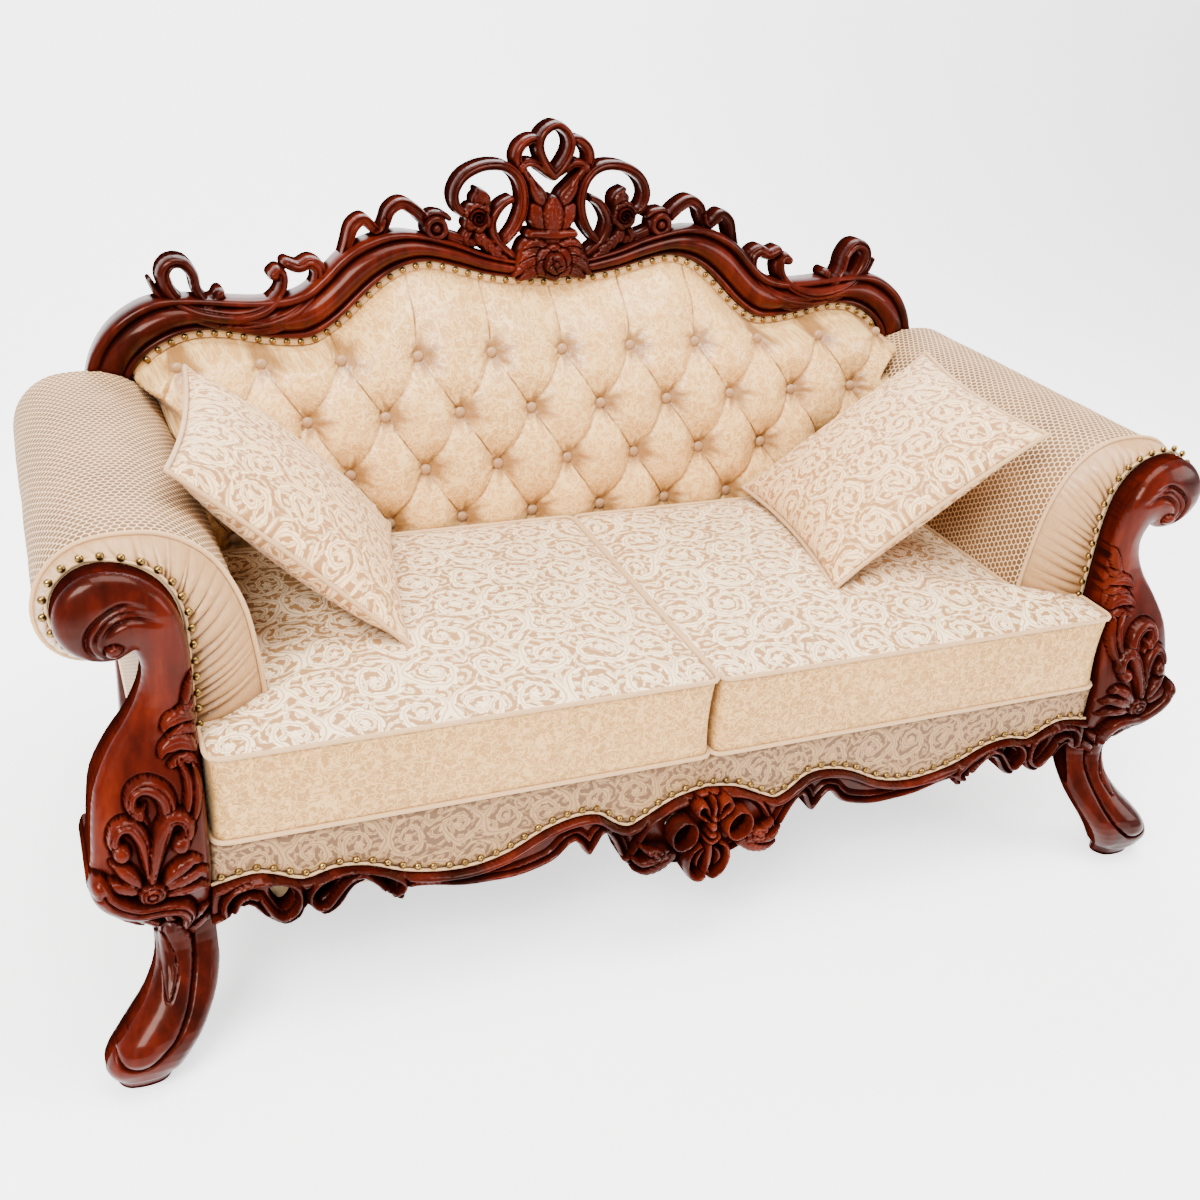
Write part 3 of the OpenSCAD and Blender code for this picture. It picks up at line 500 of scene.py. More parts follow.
class Tree:
    """Short calls for the shader nodes of one tree."""

    def __init__(self, tree):
        self.nodes, self.links = tree.nodes, tree.links

    def add(self, kind, **values):
        """A node of this kind; values are its settings or, by their names, its inputs."""
        node = self.nodes.new("ShaderNode" + kind)
        for key, value in values.items():
            if hasattr(node, key):
                setattr(node, key, value)
            else:
                node.inputs[key.replace("_", " ")].default_value = value
        return node

    def link(self, a, b):
        self.links.new(a.socket if isinstance(a, Signal) else a, b)

    def maths(self, operation, a, b=None, c=None, clamp=False):
        node = self.add("Math", operation=operation, use_clamp=clamp)
        for socket, value in zip(node.inputs, (a, b, c)):
            if isinstance(value, (int, float)):
                socket.default_value = value
            elif value is not None:
                self.link(value, socket)
        return Signal(self, node.outputs[0])

    def parts(self, vector):
        """A vector's x and y."""
        split = self.add("SeparateXYZ")
        self.link(vector, split.inputs[0])
        return Signal(self, split.outputs[0]), Signal(self, split.outputs[1])

    def spread_to(self, value, lo, hi, out_lo=0.0, out_hi=1.0):
        """Maps lo to hi onto out_lo to out_hi, easing in and out."""
        node = self.add("MapRange", interpolation_type="SMOOTHSTEP", From_Min=lo, From_Max=hi,
                        To_Min=out_lo, To_Max=out_hi)
        self.link(value, node.inputs["Value"])
        return Signal(self, node.outputs["Result"])

    def swayed(self, plane, scale, detail, reach):
        """The plane's coordinates, pushed about by a broad noise."""
        sway = self.add("TexNoise", Scale=scale, Detail=detail)
        self.link(plane, sway.inputs["Vector"])
        away = self.add("VectorMath", operation="MULTIPLY_ADD")
        self.link(sway.outputs["Color"], away.inputs[0])
        away.inputs[1].default_value = (reach, reach, 0)
        self.link(plane, away.inputs[2])
        return away.outputs[0]


class Finish(Tree):
    """A material built from nodes; number and colour constants stay on the shader's own sockets."""

    def __init__(self, name, colour=(0.5, 0.5, 0.5), roughness=0.5, metallic=0.0, **shader):
        self.material = bpy.data.materials.new(name)
        self.material.use_nodes = True
        self.material.diffuse_color = (*colour, 1)
        super().__init__(self.material.node_tree)
        self.bsdf = self.nodes["Principled BSDF"]
        self.bsdf.inputs["Base Color"].default_value = (*colour, 1)
        self.bsdf.inputs["Roughness"].default_value = roughness
        self.bsdf.inputs["Metallic"].default_value = metallic
        for key, value in shader.items():
            self.bsdf.inputs[key.replace("_", " ")].default_value = value
        self.coords = self.nodes.new("ShaderNodeTexCoord")
        self.bumps = None

    def place(self, source="Object", scale=(1, 1, 1)):
        node = self.add("Mapping", Scale=scale)
        self.link(self.coords.outputs[source], node.inputs["Vector"])
        return node.outputs["Vector"]

    def noise(self, vector, scale, detail=3.0, rough=0.5, warp=0.0):
        node = self.add("TexNoise", Scale=scale, Detail=detail, Roughness=rough, Distortion=warp)
        self.link(vector, node.inputs["Vector"])
        return Signal(self, node.outputs["Fac"])

    def ramp(self, value, *stops):
        node = self.add("ValToRGB")
        ramp = node.color_ramp
        while len(ramp.elements) < len(stops):
            ramp.elements.new(0.5)
        for element, (at, colour) in zip(ramp.elements, stops):
            element.position = at
            element.color = (*colour, 1)
        self.link(value, node.inputs["Fac"])
        return node.outputs["Color"]

    def mix(self, factor, a, b):
        node = self.add("Mix", data_type="RGBA")
        sockets = (node.inputs[0], node.inputs[6], node.inputs[7])
        for socket, value in zip(sockets, (factor, a, b)):
            if isinstance(value, (int, float)):
                socket.default_value = value
            elif isinstance(value, tuple):
                socket.default_value = (*value, 1)
            else:
                self.link(value, socket)
        return node.outputs[2]

    def mark(self, name):
        return Signal(self, self.add("Attribute", attribute_name=name).outputs["Fac"])

    def bump(self, height, strength=0.3, distance=0.001):
        node = self.add("Bump", Strength=strength, Distance=distance)
        self.link(height, node.inputs["Height"])
        if self.bumps is not None:
            self.link(self.bumps, node.inputs["Normal"])
        self.bumps = node.outputs["Normal"]
        self.link(self.bumps, self.bsdf.inputs["Normal"])

    def colour(self, socket):
        self.link(socket, self.bsdf.inputs["Base Color"])

    def roughness(self, socket):
        self.link(socket, self.bsdf.inputs["Roughness"])


def mahogany_finish():
    """Red-brown mahogany under gloss lacquer, with painted shade where the carving is deep."""
    f = Finish("mahogany_lacquer", (0.1, 0.011, 0.004), 0.3, Coat_Weight=0.08, Coat_Roughness=0.12,
               Specular_IOR_Level=0.2, Specular_Tint=(1.0, 0.42, 0.25, 1.0))
    grain = f.place(scale=(1, 1, 0.35))
    cloud = f.noise(grain, 9.0, 4, 0.55, 0.8)
    streak = f.noise(f.place(scale=(1, 1, 0.12)), 70.0, 3, 0.6, 0.4)
    base = f.ramp(cloud * 0.75 + streak * 0.25, (0.32, (0.007, 0.0009, 0.0006)),
                  (0.46, (0.024, 0.0020, 0.0009)), (0.58, (0.052, 0.0042, 0.0016)),
                  (0.72, (0.105, 0.0112, 0.0034)))
    # Painted shade: the wood goes near black in hollows that ambient occlusion finds and where the mesh
    # marks painted shade.
    shade = f.add("AmbientOcclusion", samples=8, Distance=0.014)
    painted_shade = f.spread_to(f.mark("painted_shade"), 0.03, 0.6)
    occlusion_shade = f.spread_to(shade.outputs["AO"], 0.3, 0.9, 1.0, 0.0)
    dark = f.maths("MAXIMUM", painted_shade, occlusion_shade)
    f.colour(f.mix(dark * 0.93, base, (0.006, 0.0012, 0.0009)))
    f.roughness(f.spread_to(dark, 0.0, 1.0, 0.28, 0.7))
    # Deep cuts and the walls of the piercings hold no polish
    dull = f.maths("MAXIMUM", dark, f.mark("wall"))
    f.link(f.spread_to(dull, 0.08, 0.38, 0.12, 0.0), f.bsdf.inputs["Specular IOR Level"])
    f.link(f.spread_to(dull, 0.08, 0.38, 0.08, 0.0), f.bsdf.inputs["Coat Weight"])
    f.bump(streak, 0.12, 0.0006)
    return f.material


def scroll_group():
    """Node group: a scrolling damask drawn on a plane, its motif one unit wide. Gives 0 to 1."""
    tree = bpy.data.node_groups.new("scrolling_damask", "ShaderNodeTree")
    tree.interface.new_socket("Plane", in_out="INPUT", socket_type="NodeSocketVector")
    bold = tree.interface.new_socket("Boldness", in_out="INPUT", socket_type="NodeSocketFloat")
    bold.default_value = 1.0
    tree.interface.new_socket("Pattern", in_out="OUTPUT", socket_type="NodeSocketFloat")
    group = Tree(tree)
    m, soft = group.maths, group.spread_to
    src = tree.nodes.new("NodeGroupInput")
    out = tree.nodes.new("NodeGroupOutput")
    split = group.add("SeparateXYZ")
    group.link(group.swayed(src.outputs["Plane"], 1.3, 1.0, 0.42), split.inputs[0])
    x, y = (Signal(group, socket) for socket in split.outputs[:2])

    def scrolls(x, y, twist):
        """Spirals in square cells, turned the other way from cell to cell, with lobed edges."""
        row = m("FLOOR", y)
        x = x + m("MODULO", abs(row), 2.0) * 0.5
        column = m("FLOOR", x)
        hand = m("PINGPONG", row + column, 1.0) * 2.0 - 1.0
        u = (x - column - 0.5) * hand
        v = y - row - 0.5
        r = m("SQRT", u * u + v * v)
        angle = m("ARCTAN2", v, u) / (2 * math.pi)
        arm = abs(m("FRACT", angle + r ** 0.75 * twist) - 0.5)
        lobes = abs(m("SINE", angle * 34.0 + r * 22.0))
        width = 0.13 + lobes * (r * 0.36 + 0.03)
        vine = soft(arm - width, -0.035, 0.03, 1.0, 0.0)
        rib = soft(abs(arm - 0.02), 0.012, 0.035, 0.35, 1.0)
        within = soft(r, 0.50, 0.60, 1.0, 0.0)
        rose = soft(r - abs(m("SINE", angle * 15.7)) * 0.05, 0.035, 0.06, 1.0, 0.0)
        halo = soft(arm - width, 0.02, 0.07, 1.0, 0.0)
        drawn = m("MAXIMUM", vine * rib * within, rose)
        return drawn, m("MAXIMUM", halo * within, rose)

    large, halo = scrolls(x, y, 3.6)
    # Smaller scrolls turned by a third fill the ground between the large ones
    x2 = x * 1.75 + y * 0.9
    y2 = y * 1.75 - x * 0.9
    small = scrolls(x2 + 0.31, y2 + 0.47, 3.0)[0] * ((1.0 - halo) * 0.85)
    group.link(m("MULTIPLY", m("MAXIMUM", large, small), src.outputs["Boldness"], clamp=True),
               out.inputs["Pattern"])
    return tree


def scrolls_on(f, vector, group, boldness=1.0):
    node = f.nodes.new("ShaderNodeGroup")
    node.node_tree = group
    f.link(vector, node.inputs["Plane"])
    node.inputs["Boldness"].default_value = boldness
    return Signal(f, node.outputs["Pattern"])


def loops_on(f, plane):
    """Fine lines that loop over the cloth, from 0 to 1."""
    moved = f.swayed(plane, 1.1, 2.0, 2.4)
    lines = []
    for scale in (1.0, 1.7):
        cells = f.add("TexVoronoi", feature="DISTANCE_TO_EDGE", Scale=scale)
        f.link(moved, cells.inputs["Vector"])
        lines.append(f.spread_to(cells.outputs["Distance"], 0.03, 0.085, 1.0, 0.0))
    return f.maths("MAXIMUM", lines[0], lines[1] * 0.7)


def painted_crease_shade(f):
    """Painted shade in thin lines along the creases from button to button, and up from the top row."""
    x, y = f.parts(f.coords.outputs["UV"])
    x = x * (1000.0 / TUFT_PITCH)
    down = f.maths("MINIMUM", (y - TUFT_TOP * MM) / (TUFT_ROW * 0.002), 0.0)
    out = []
    for way, strength in (("ADD", 0.95), ("SUBTRACT", 0.6)):
        line = f.maths("PINGPONG", f.maths(way, x, down), 0.5)
        out.append(f.spread_to(line, 0.006, 0.022, strength, 0.0))
    # The painted crease shade comes and goes along the lines.
    patchiness = f.noise(f.coords.outputs["UV"], 30.0, 2)
    return f.maths("MAXIMUM", *out) * f.spread_to(patchiness, 0.35, 0.6, 0.35, 1.0)


def cloth_finish(name, ground, figure, motif, group, source="UV", contrast=1.0, weave=900.0,
                 relief=0.0005, roughness=0.62, sheen=0.08, boldness=1.0, tufts=False):
    """Woven upholstery cloth: a figure on a ground, threads, a little wear and shading.

    Without a group the figure is a fine all-over looping line.
    """
    f = Finish(name, ground, roughness, Sheen_Weight=sheen, Sheen_Roughness=0.4,
               Specular_IOR_Level=0.35)
    plane = f.place(source, scale=(1000.0 / motif,) * 3)
    figure_mask = scrolls_on(f, plane, group, boldness) if group else loops_on(f, plane)
    threads = []
    for direction, waver in (("X", 0.6), ("Y", 0.0)):
        wave = f.add("TexWave", wave_type="BANDS", bands_direction=direction, Scale=weave / 6.28,
                     Distortion=waver)
        f.link(f.coords.outputs[source], wave.inputs["Vector"])
        threads.append(wave.outputs["Fac"])
    web = f.maths("MULTIPLY", *threads)
    fray = f.noise(f.coords.outputs[source], 420.0, 2, 0.6)
    mask = figure_mask * f.spread_to(fray, 0.25, 0.5, 0.72, 1.0)
    broad = f.noise(f.coords.outputs["Object"], 3.2, 2)
    dim = tuple(c * 0.86 for c in ground)
    base = f.mix(f.spread_to(broad, 0.35, 0.65), ground, dim)
    cloth = f.mix(mask * contrast, base, figure)
    cloth = f.mix(f.spread_to(web, 0.0, 0.8, 1.0, 0.0) * 0.14, cloth, tuple(c * 0.55 for c in ground))
    # Painted shade: the cloth darkens in hollows that ambient occlusion finds, where the mesh marks painted
    # shade, and along the creases of a tufted back.
    shade = f.add("AmbientOcclusion", samples=8, Distance=0.03)
    deep = f.maths("MAXIMUM", f.spread_to(shade.outputs["AO"], 0.2, 0.85, 0.55, 0.0),
                   f.spread_to(f.mark("painted_shade"), 0.0, 1.0, 0.0, 0.8))
    if tufts:
        deep = f.maths("MAXIMUM", deep, painted_crease_shade(f))
    f.colour(f.mix(deep, cloth, tuple(c * v for c, v in zip(ground, (0.30, 0.21, 0.13)))))
    f.roughness(f.spread_to(mask, 0.0, 1.0, roughness, roughness - 0.16))
    f.bump(mask * 0.6 + web * 0.4, 0.5, relief)
    return f.material


def net_finish():
    """Cloth of the arms: tan cells in a raised pale honeycomb net."""
    f = Finish("arm_net_cloth", (0.55, 0.43, 0.30), 0.7, Specular_IOR_Level=0.25)
    plane = f.place("UV", scale=(1000.0 / 10.0,) * 3)
    u, v = f.parts(plane)

    def to_edge(du, dv):
        """Six-sided cells come from the nearest of two crossed rows of points."""
        a = f.maths("FLOORED_MODULO", u + du, 1.0) - 0.5
        b = f.maths("FLOORED_MODULO", v + dv, 1.732) - 0.866
        a, b = abs(a), abs(b)
        return f.maths("MAXIMUM", a, a * 0.5 + b * 0.866)

    reach = f.maths("MINIMUM", to_edge(0.0, 0.0), to_edge(0.5, 0.866))
    net = f.spread_to(reach, 0.37, 0.44)
    wear = f.noise(f.coords.outputs["Object"], 14.0, 3, 0.6)
    tan = f.ramp(wear, (0.3, (0.115, 0.055, 0.021)),
                 (0.55, (0.17, 0.083, 0.032)), (0.75, (0.25, 0.130, 0.054)))
    f.colour(f.mix(net, tan, (0.74, 0.49, 0.26)))
    f.bump(net, 0.7, 0.0012)
    f.bump(f.noise(f.coords.outputs["UV"], 900.0, 2), 0.15, 0.0003)
    return f.material


def brass_finish():
    f = Finish("antique_brass", (0.26, 0.155, 0.045), 0.3, 1.0)
    spots = f.noise(f.place(), 160.0, 3, 0.6)
    f.colour(f.ramp(spots, (0.3, (0.075, 0.040, 0.012)), (0.55, (0.25, 0.145, 0.040)),
                    (0.75, (0.48, 0.31, 0.10))))
    f.roughness(f.spread_to(spots, 0.3, 0.7, 0.42, 0.22))
    f.bump(spots, 0.1, 0.0004)
    return f.material


def plain_wood_finish(name, light, dark):
    f = Finish(name, light, 0.55)
    rings = f.noise(f.place(scale=(0.12, 1, 1)), 60.0, 4, 0.6, 0.6)
    f.colour(f.ramp(rings, (0.3, dark), (0.7, light)))
    f.bump(rings, 0.2, 0.0006)
    return f.material


def plain_cloth_finish(name, colour, weave=700.0, roughness=0.85):
    f = Finish(name, colour, roughness, Sheen_Weight=0.2)
    threads = f.noise(f.place(), weave, 2, 0.6)
    f.colour(f.mix(f.spread_to(threads, 0.3, 0.7), tuple(c * 0.75 for c in colour), colour))
    f.bump(threads, 0.3, 0.0005)
    return f.material


def steel_finish():
    f = Finish("spring_steel", (0.42, 0.42, 0.43), 0.35, 1.0)
    rub = f.noise(f.place(scale=(1, 0.2, 1)), 220.0, 2)
    f.roughness(f.spread_to(rub, 0.3, 0.7, 0.28, 0.5))
    return f.material


damask_scrolls = scroll_group()
MAHOGANY = mahogany_finish()
DAMASK = cloth_finish("seat_damask", (0.37, 0.183, 0.063), (0.97, 0.735, 0.445), 80.0, damask_scrolls)
PILLOW_DAMASK = cloth_finish("pillow_damask", (0.41, 0.190, 0.062), (0.97, 0.65, 0.33), 72.0,
                             damask_scrolls)
BOXING = cloth_finish("boxing_damask", (0.46, 0.222, 0.054), (0.84, 0.50, 0.172), 15.0, None,
                      contrast=0.7)
SATIN = cloth_finish("back_satin", (0.60, 0.305, 0.085), (0.96, 0.64, 0.26), 17.0, None,
                     contrast=0.6, roughness=0.42, sheen=0.05, weave=1400.0, relief=0.0003, tufts=True)
RUCHE_SATIN = cloth_finish("band_satin", (0.42, 0.220, 0.085), (0.62, 0.37, 0.165), 44.0, damask_scrolls,
                           contrast=0.3, roughness=0.42, sheen=0.05, weave=1400.0, relief=0.0003)
REAR_DAMASK = cloth_finish("outside_damask", (0.38, 0.200, 0.082), (0.86, 0.66, 0.43), 80.0,
                           damask_scrolls)
NET = net_finish()
# Darker colours than the seat's damask: painted shade for the shadow the border lies in under the cushions.
SHADED_BORDER_DAMASK = cloth_finish("border_damask", (0.14, 0.062, 0.020), (0.39, 0.215, 0.080), 66.0,
                             damask_scrolls)
BUTTON_CLOTH = plain_cloth_finish("button_satin", (0.36, 0.180, 0.068), 1300.0, 0.42)
WELT = plain_cloth_finish("welt_cloth", (0.58, 0.33, 0.135), 1100.0, 0.6)
BRASS = brass_finish()
BEECH = plain_wood_finish("frame_beech", (0.62, 0.42, 0.22), (0.45, 0.27, 0.12))
PLY = plain_wood_finish("birch_plywood", (0.66, 0.50, 0.32), (0.52, 0.36, 0.20))
CANVAS = plain_cloth_finish("deck_canvas", (0.66, 0.57, 0.44))
BLACK_CLOTH = plain_cloth_finish("under_cloth", (0.022, 0.021, 0.021))
FOAM = plain_cloth_finish("foam", (0.70, 0.62, 0.36), 300.0)
STEEL = steel_finish()


def up(points):
    """Points whose heights are given above the joint of the crest and the back legs."""
    return [(x, JOINT_H + z) for x, z in points]


def volute_round(radius, degrees):
    """Points round the centre of the right post's volute."""
    return np.array([[VOLUTE_X + radius * math.cos(math.radians(a)),
                      VOLUTE_Z + radius * math.sin(math.radians(a))] for a in degrees])


post_inner = smooth(on_side(1, POST_IN)([
    (68, -60), (68, 0), (66, 18), (56, 27), (42, 52), (22, 84), (3, 118), (-7, 155), (-8, 188), (0, 212),
    (0, 240), (0, 310), (0, 380), (0, 450), (0, 510), (0, 555), (2, 592), (9, 630), (24, 660), (45, 680),
    (68, 691), (92, 695)]))
post_outer = smooth(on_side(1, POST_IN)([
    (138, -60), (138, 0), (138, 17), (145, 27), (150, 46), (141, 68), (117, 96), (93, 121), (76, 150),
    (72, 176), (76, 200), (91, 223), (114, 242), (132, 265), (143, 292), (146, 315), (138, 340),
    (134, 378), (126, 425), (104, 469), (80, 503), (63, 537), (57, 568), (64, 592)]))
volute_arc = volute_round(VOLUTE_R, range(78, -106, -6))
post_outline = np.concatenate([post_inner, volute_arc, post_outer[::-1]])
post_front = smooth([(-425, 0), (-438.6, 40), (-437, 75), (-415, 110), (-375, 160), (-362, 200),
                     (-378, 250), (-392, 300), (-388, 350), (-370, 420), (-350, 480), (-340, 540),
                     (-342, 600), (-345, 640), (-337, 700)])
post_rear = smooth([(-262, 197), (-306, 178), (-326, 150), (-352, 110), (-371, 75), (-377, 40), (-380, 0)])

apron_top = smooth([(0, 272), (50, 262), (100, 236), (122, 228), (145, 240), (170, 259), (205, 262),
                    (250, 250), (300, 224), (350, 212), (400, 214), (450, 226), (500, 248),
                    (545, 254), (585, 246), (620, 262), (650, 270), (700, 262)])
apron_low = smooth([(0, 160), (40, 150), (75, 162), (106, 162), (128, 174), (146, 212), (161, 231),
                    (172, 212), (184, 197), (207, 227), (229, 208), (248, 197), (289, 187),
                    (330, 187), (371, 190), (411, 200), (445, 204), (454, 187), (474, 201),
                    (497, 228), (519, 227), (538, 199), (561, 188), (581, 209), (591, 193),
                    (613, 185), (637, 205), (658, 229), (682, 214), (704, 206)])
apron_outline = np.concatenate([across(apron_top), across(apron_low)[::-1]])

arm_line = np.concatenate([[[604, 300.3]], smooth([
    (604, 455), (613, 530), (628, 600), (660, 662), (708, 697), (762, 705), (815, 696), (852, 663),
    (866, 615), (853, 571), (819, 548), (779, 554), (754, 575)], 4)])
ruche_inner = spread(smooth(np.concatenate([
    on_side(1, POST_IN)([(0, 330.3), (0, 438), (0, 560), (4, 620), (24, 664), (56, 686)]),
    volute_round(VOLUTE_R + 1, range(80, -101, -20)), [(POST_IN + 64, 590)]])), 44)
ruche_outer = spread(np.concatenate([[[604, 330.3]], arm_line[1:]]), 44)

crest_in = smooth(up([
    (0, 182), (75, 188), (120, 195), (160, 206), (210, 217), (250, 212), (287, 194), (325, 162),
    (360, 130), (400, 104), (430, 100), (465, 103), (500, 109), (530, 116), (565, 120), (600, 117),
    (630, 106), (657, 89), (680, 65), (692, 32), (695, 0)]))
crest_out = smooth(up([
    (0, 212), (60, 214), (120, 228), (165, 245), (210, 257), (255, 265), (297, 260), (350, 237),
    (385, 203), (420, 175), (460, 166), (500, 165), (560, 170), (610, 173), (645, 171), (671, 162),
    (701, 143), (725, 118), (745, 82), (756, 38), (757, 0)]))


def ellipse(centre, across_r, up_r, count):
    """Points round an ellipse, the last on the first."""
    return [(centre[0] + across_r * math.cos(a), centre[1] + up_r * math.sin(a))
            for a in np.linspace(0, 2 * math.pi, count)]


def rounded(t, s):
    """An even half-round band. Profiles take t across and s along."""
    return np.sqrt(np.clip(1 - t * t, 0, 1))


def hollowed(t, s):
    """A channel between two raised edges."""
    a = np.abs(t)
    rims = np.sqrt(np.clip(1 - ((a - 0.72) / 0.28) ** 2, 0, 1))
    return np.where(a > 0.5, np.maximum(rims, 0.35), 0.35 + 0.25 * (a / 0.5) ** 2)


def one_groove(t, s):
    """A rounded band with a fine gouged line a third of the way in."""
    return np.sqrt(np.clip(1 - t * t, 0, 1)) * (1 - 0.42 * np.exp(-((t - 0.3) / 0.13) ** 2))


def two_grooves(t, s):
    return np.sqrt(np.clip(1 - t * t, 0, 1)) * (
        1 - 0.4 * np.exp(-((np.abs(t) - 0.38) / 0.12) ** 2))


def veined(t, s):
    """A leaf: two swelling halves with a rib between them and slanting veins."""
    a = np.abs(t)
    halves = np.sqrt(np.clip(1 - a * a, 0, 1)) * (0.72 + 0.28 * np.clip(a / 0.35, 0, 1))
    rib = 0.3 * np.exp(-(a / 0.10) ** 2)
    veins = 0.12 * np.cos((s * 7 - a * 1.3) * 2 * math.pi) * a
    return (halves + rib + veins) * (0.55 + 0.45 * np.sin(math.pi * np.clip(s * 0.9 + 0.1, 0, 1)))


def swelling(t, s):
    """A petal that rises along its length."""
    return np.sqrt(np.clip(1 - t * t, 0, 1)) * (0.35 + 0.65 * s) * (
        1 - 0.35 * np.exp(-(t / 0.16) ** 2))


def crest_moulding():
    """The crest rail: bead, cove and rounded back swept along the bow between its two edges."""
    stations = 190
    inner = spread(crest_in, stations)
    outer = spread(crest_out, stations)
    # The inner line is paired with the nearest place of the outer one so that the mouldings stay square
    fine = spread(crest_out, 1500)
    paired, last = [], 0
    for k, p in enumerate(inner):
        want = int(k / stations * 1500)
        window = range(max(last, want - 130), min(1501, want + 130))
        best = min(window, key=lambda q: np.sum((fine[q] - p) ** 2))
        best = int(round(0.55 * best + 0.45 * want))
        last = max(last, best)
        paired.append(fine[last])
    paired = np.array(paired)
    paired[0], paired[-1] = crest_out[0], crest_out[-1]
    for _ in range(4):
        paired[1:-1] = (paired[:-2] + paired[2:] + 2 * paired[1:-1]) / 4
    a = across(inner)
    b = across(paired)
    # Depths in front of the crest's face, at shares of the way from the inner edge outwards
    section = [(0.0, 40), (0.0, 6), (0.0, 0), (0.01, -5), (0.04, -8), (0.08, -9), (0.12, -8),
               (0.15, -5), (0.165, -2), (0.18, -1.5), (0.20, -5), (0.24, -9), (0.30, -13), (0.38, -16),
               (0.46, -17), (0.54, -16), (0.62, -13), (0.69, -8), (0.735, -4), (0.75, -3.2),
               (0.77, -6), (0.81, -10), (0.86, -12), (0.91, -11.5), (0.95, -9), (0.98, -4), (1.0, 3),
               (1.0, 12), (1.0, 30), (0.98, 38), (0.93, 43), (0.85, 45), (0.5, 45), (0.1, 45)]
    u, y = np.array(section, float).T
    rows = len(a)
    ease = np.clip((a[:, 1] - 700) / 45, 0, 1)[:, None]
    width = np.linalg.norm(b - a, axis=1)[:, None]
    plan = a[:, None, :] * (1 - u[None, :, None]) + b[:, None, :] * u[None, :, None]
    depth = np.where(y[None, :] < 0, y[None, :] * (0.35 + 0.65 * ease) * np.clip(width / 55, 0.6, 1.05),
                     np.repeat(y[None, :], rows, 0))
    points = leant(plan[..., 0], depth, plan[..., 1]).reshape(-1, 3)
    m = len(section)
    faces = loft_faces(rows, m)
    # Painted shade in the two quirks of the moulding.
    dark = np.zeros(m)
    dark[[8, 9, 18, 19]] = (0.7, 1.0, 0.8, 1.0)
    dark[[7, 10, 17, 20]] = 0.25
    piece = solid("crest_moulding", points, faces, MAHOGANY, marks={"painted_shade": np.tile(dark, rows)},
                  soft_edge=50)
    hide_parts("crest_rail")


CARVED_FACE = 8.0
CARVED_REAR = 38.5


def carve_cartouche():
    """Open cartouche: hoop, lobes, bracket and stems over a shell, two collars and a boss."""
    c = Carving(-78, 78, 820, 1084, 1.2, wider=4.0)
    c.board([(-33, 858), (33, 858), (33, 912), (-33, 912)], 2.0)
    c.pair([(26, 1047), (42, 1046), (57, 1036), (64, 1021), (61, 1006), (52, 999)],
           [9, 12, 13, 13, 11], one_groove, 0, 10)
    c.pair([(60, 998), (50, 1008), (35, 1009), (18, 1000), (0, 989)],
           [8, 10, 11, 12, 13], one_groove, 2, 9)
    c.pair([(56, 1003), (44, 987), (31, 972), (18, 958), (11, 940)],
           [9, 11, 13, 14, 13], one_groove, 0, 9)
    c.pair([(40, 985), (36, 968), (26, 952), (17, 938)], [3, 11, 14, 10], veined, 3, 8)
    hoop = [(0, 990), (14, 1006), (25, 1026), (27, 1043), (19, 1059), (0, 1069), (-19, 1059), (-27, 1043),
            (-25, 1026), (-14, 1006), (0, 990)]
    c.stroke(hoop, [13, 12, 11, 12, 13], one_groove, 4, 11)
    # Shell: a broad middle lobe over two side lobes
    for hand in (-1, 1):
        c.stroke(on_side(hand)([(9, 896), (19, 912), (28, 928), (35, 940)]), [16, 26, 28, 10], veined,
                 5, 10, line=2.2, groove=4)
    c.stroke([(0, 894), (0, 915), (0, 934), (0, 951)], [18, 28, 33, 12], veined, 9, 11, line=2.5, groove=4)
    c.stroke([(-38, 896), (0, 894), (38, 896)], [12, 14, 12], rounded, 9, 10)
    c.stroke([(-34, 882), (0, 880), (34, 882)], [10, 12, 10], rounded, 8, 9)
    # Acanthus that flares round the boss, and the rose on it
    leaves = [((10, 872), (28, 880), (43, 878), (54, 866)), ((12, 862), (34, 866), (52, 858), (63, 845)),
              ((10, 850), (34, 852), (54, 843), (69, 831)), ((8, 838), (28, 838), (46, 831), (58, 825))]
    for path in leaves:
        c.pair(path, [12, 18, 17, 6], veined, 10, 12, groove=4)
    for n, reach, size, lift in ((6, 21, (15.5, 13), 16), (5, 10, (11.5, 9.5), 24)):
        for k in range(n):
            a = math.radians(90 + 36 * (n == 5) + 360 / n * k)
            c.boss((reach * math.cos(a), 851 + 0.86 * reach * math.sin(a)), size, math.degrees(a) + 90,
                   lift, 10, hollow=0.35, groove=4, power=0.6)
    c.boss((0, 851), (5.5, 5), 0, 31, 5, groove=3)
    face = CARVED_FACE - 5 * np.clip((868 - c.Z) / 10, 0, 1)
    rear = np.where(c.Z < 853, 4.0, CARVED_REAR)
    piece = c.mesh("crest_cartouche_carving", MAHOGANY, face, rear, leant, edge=4.0)
    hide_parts("crest_cartouche")


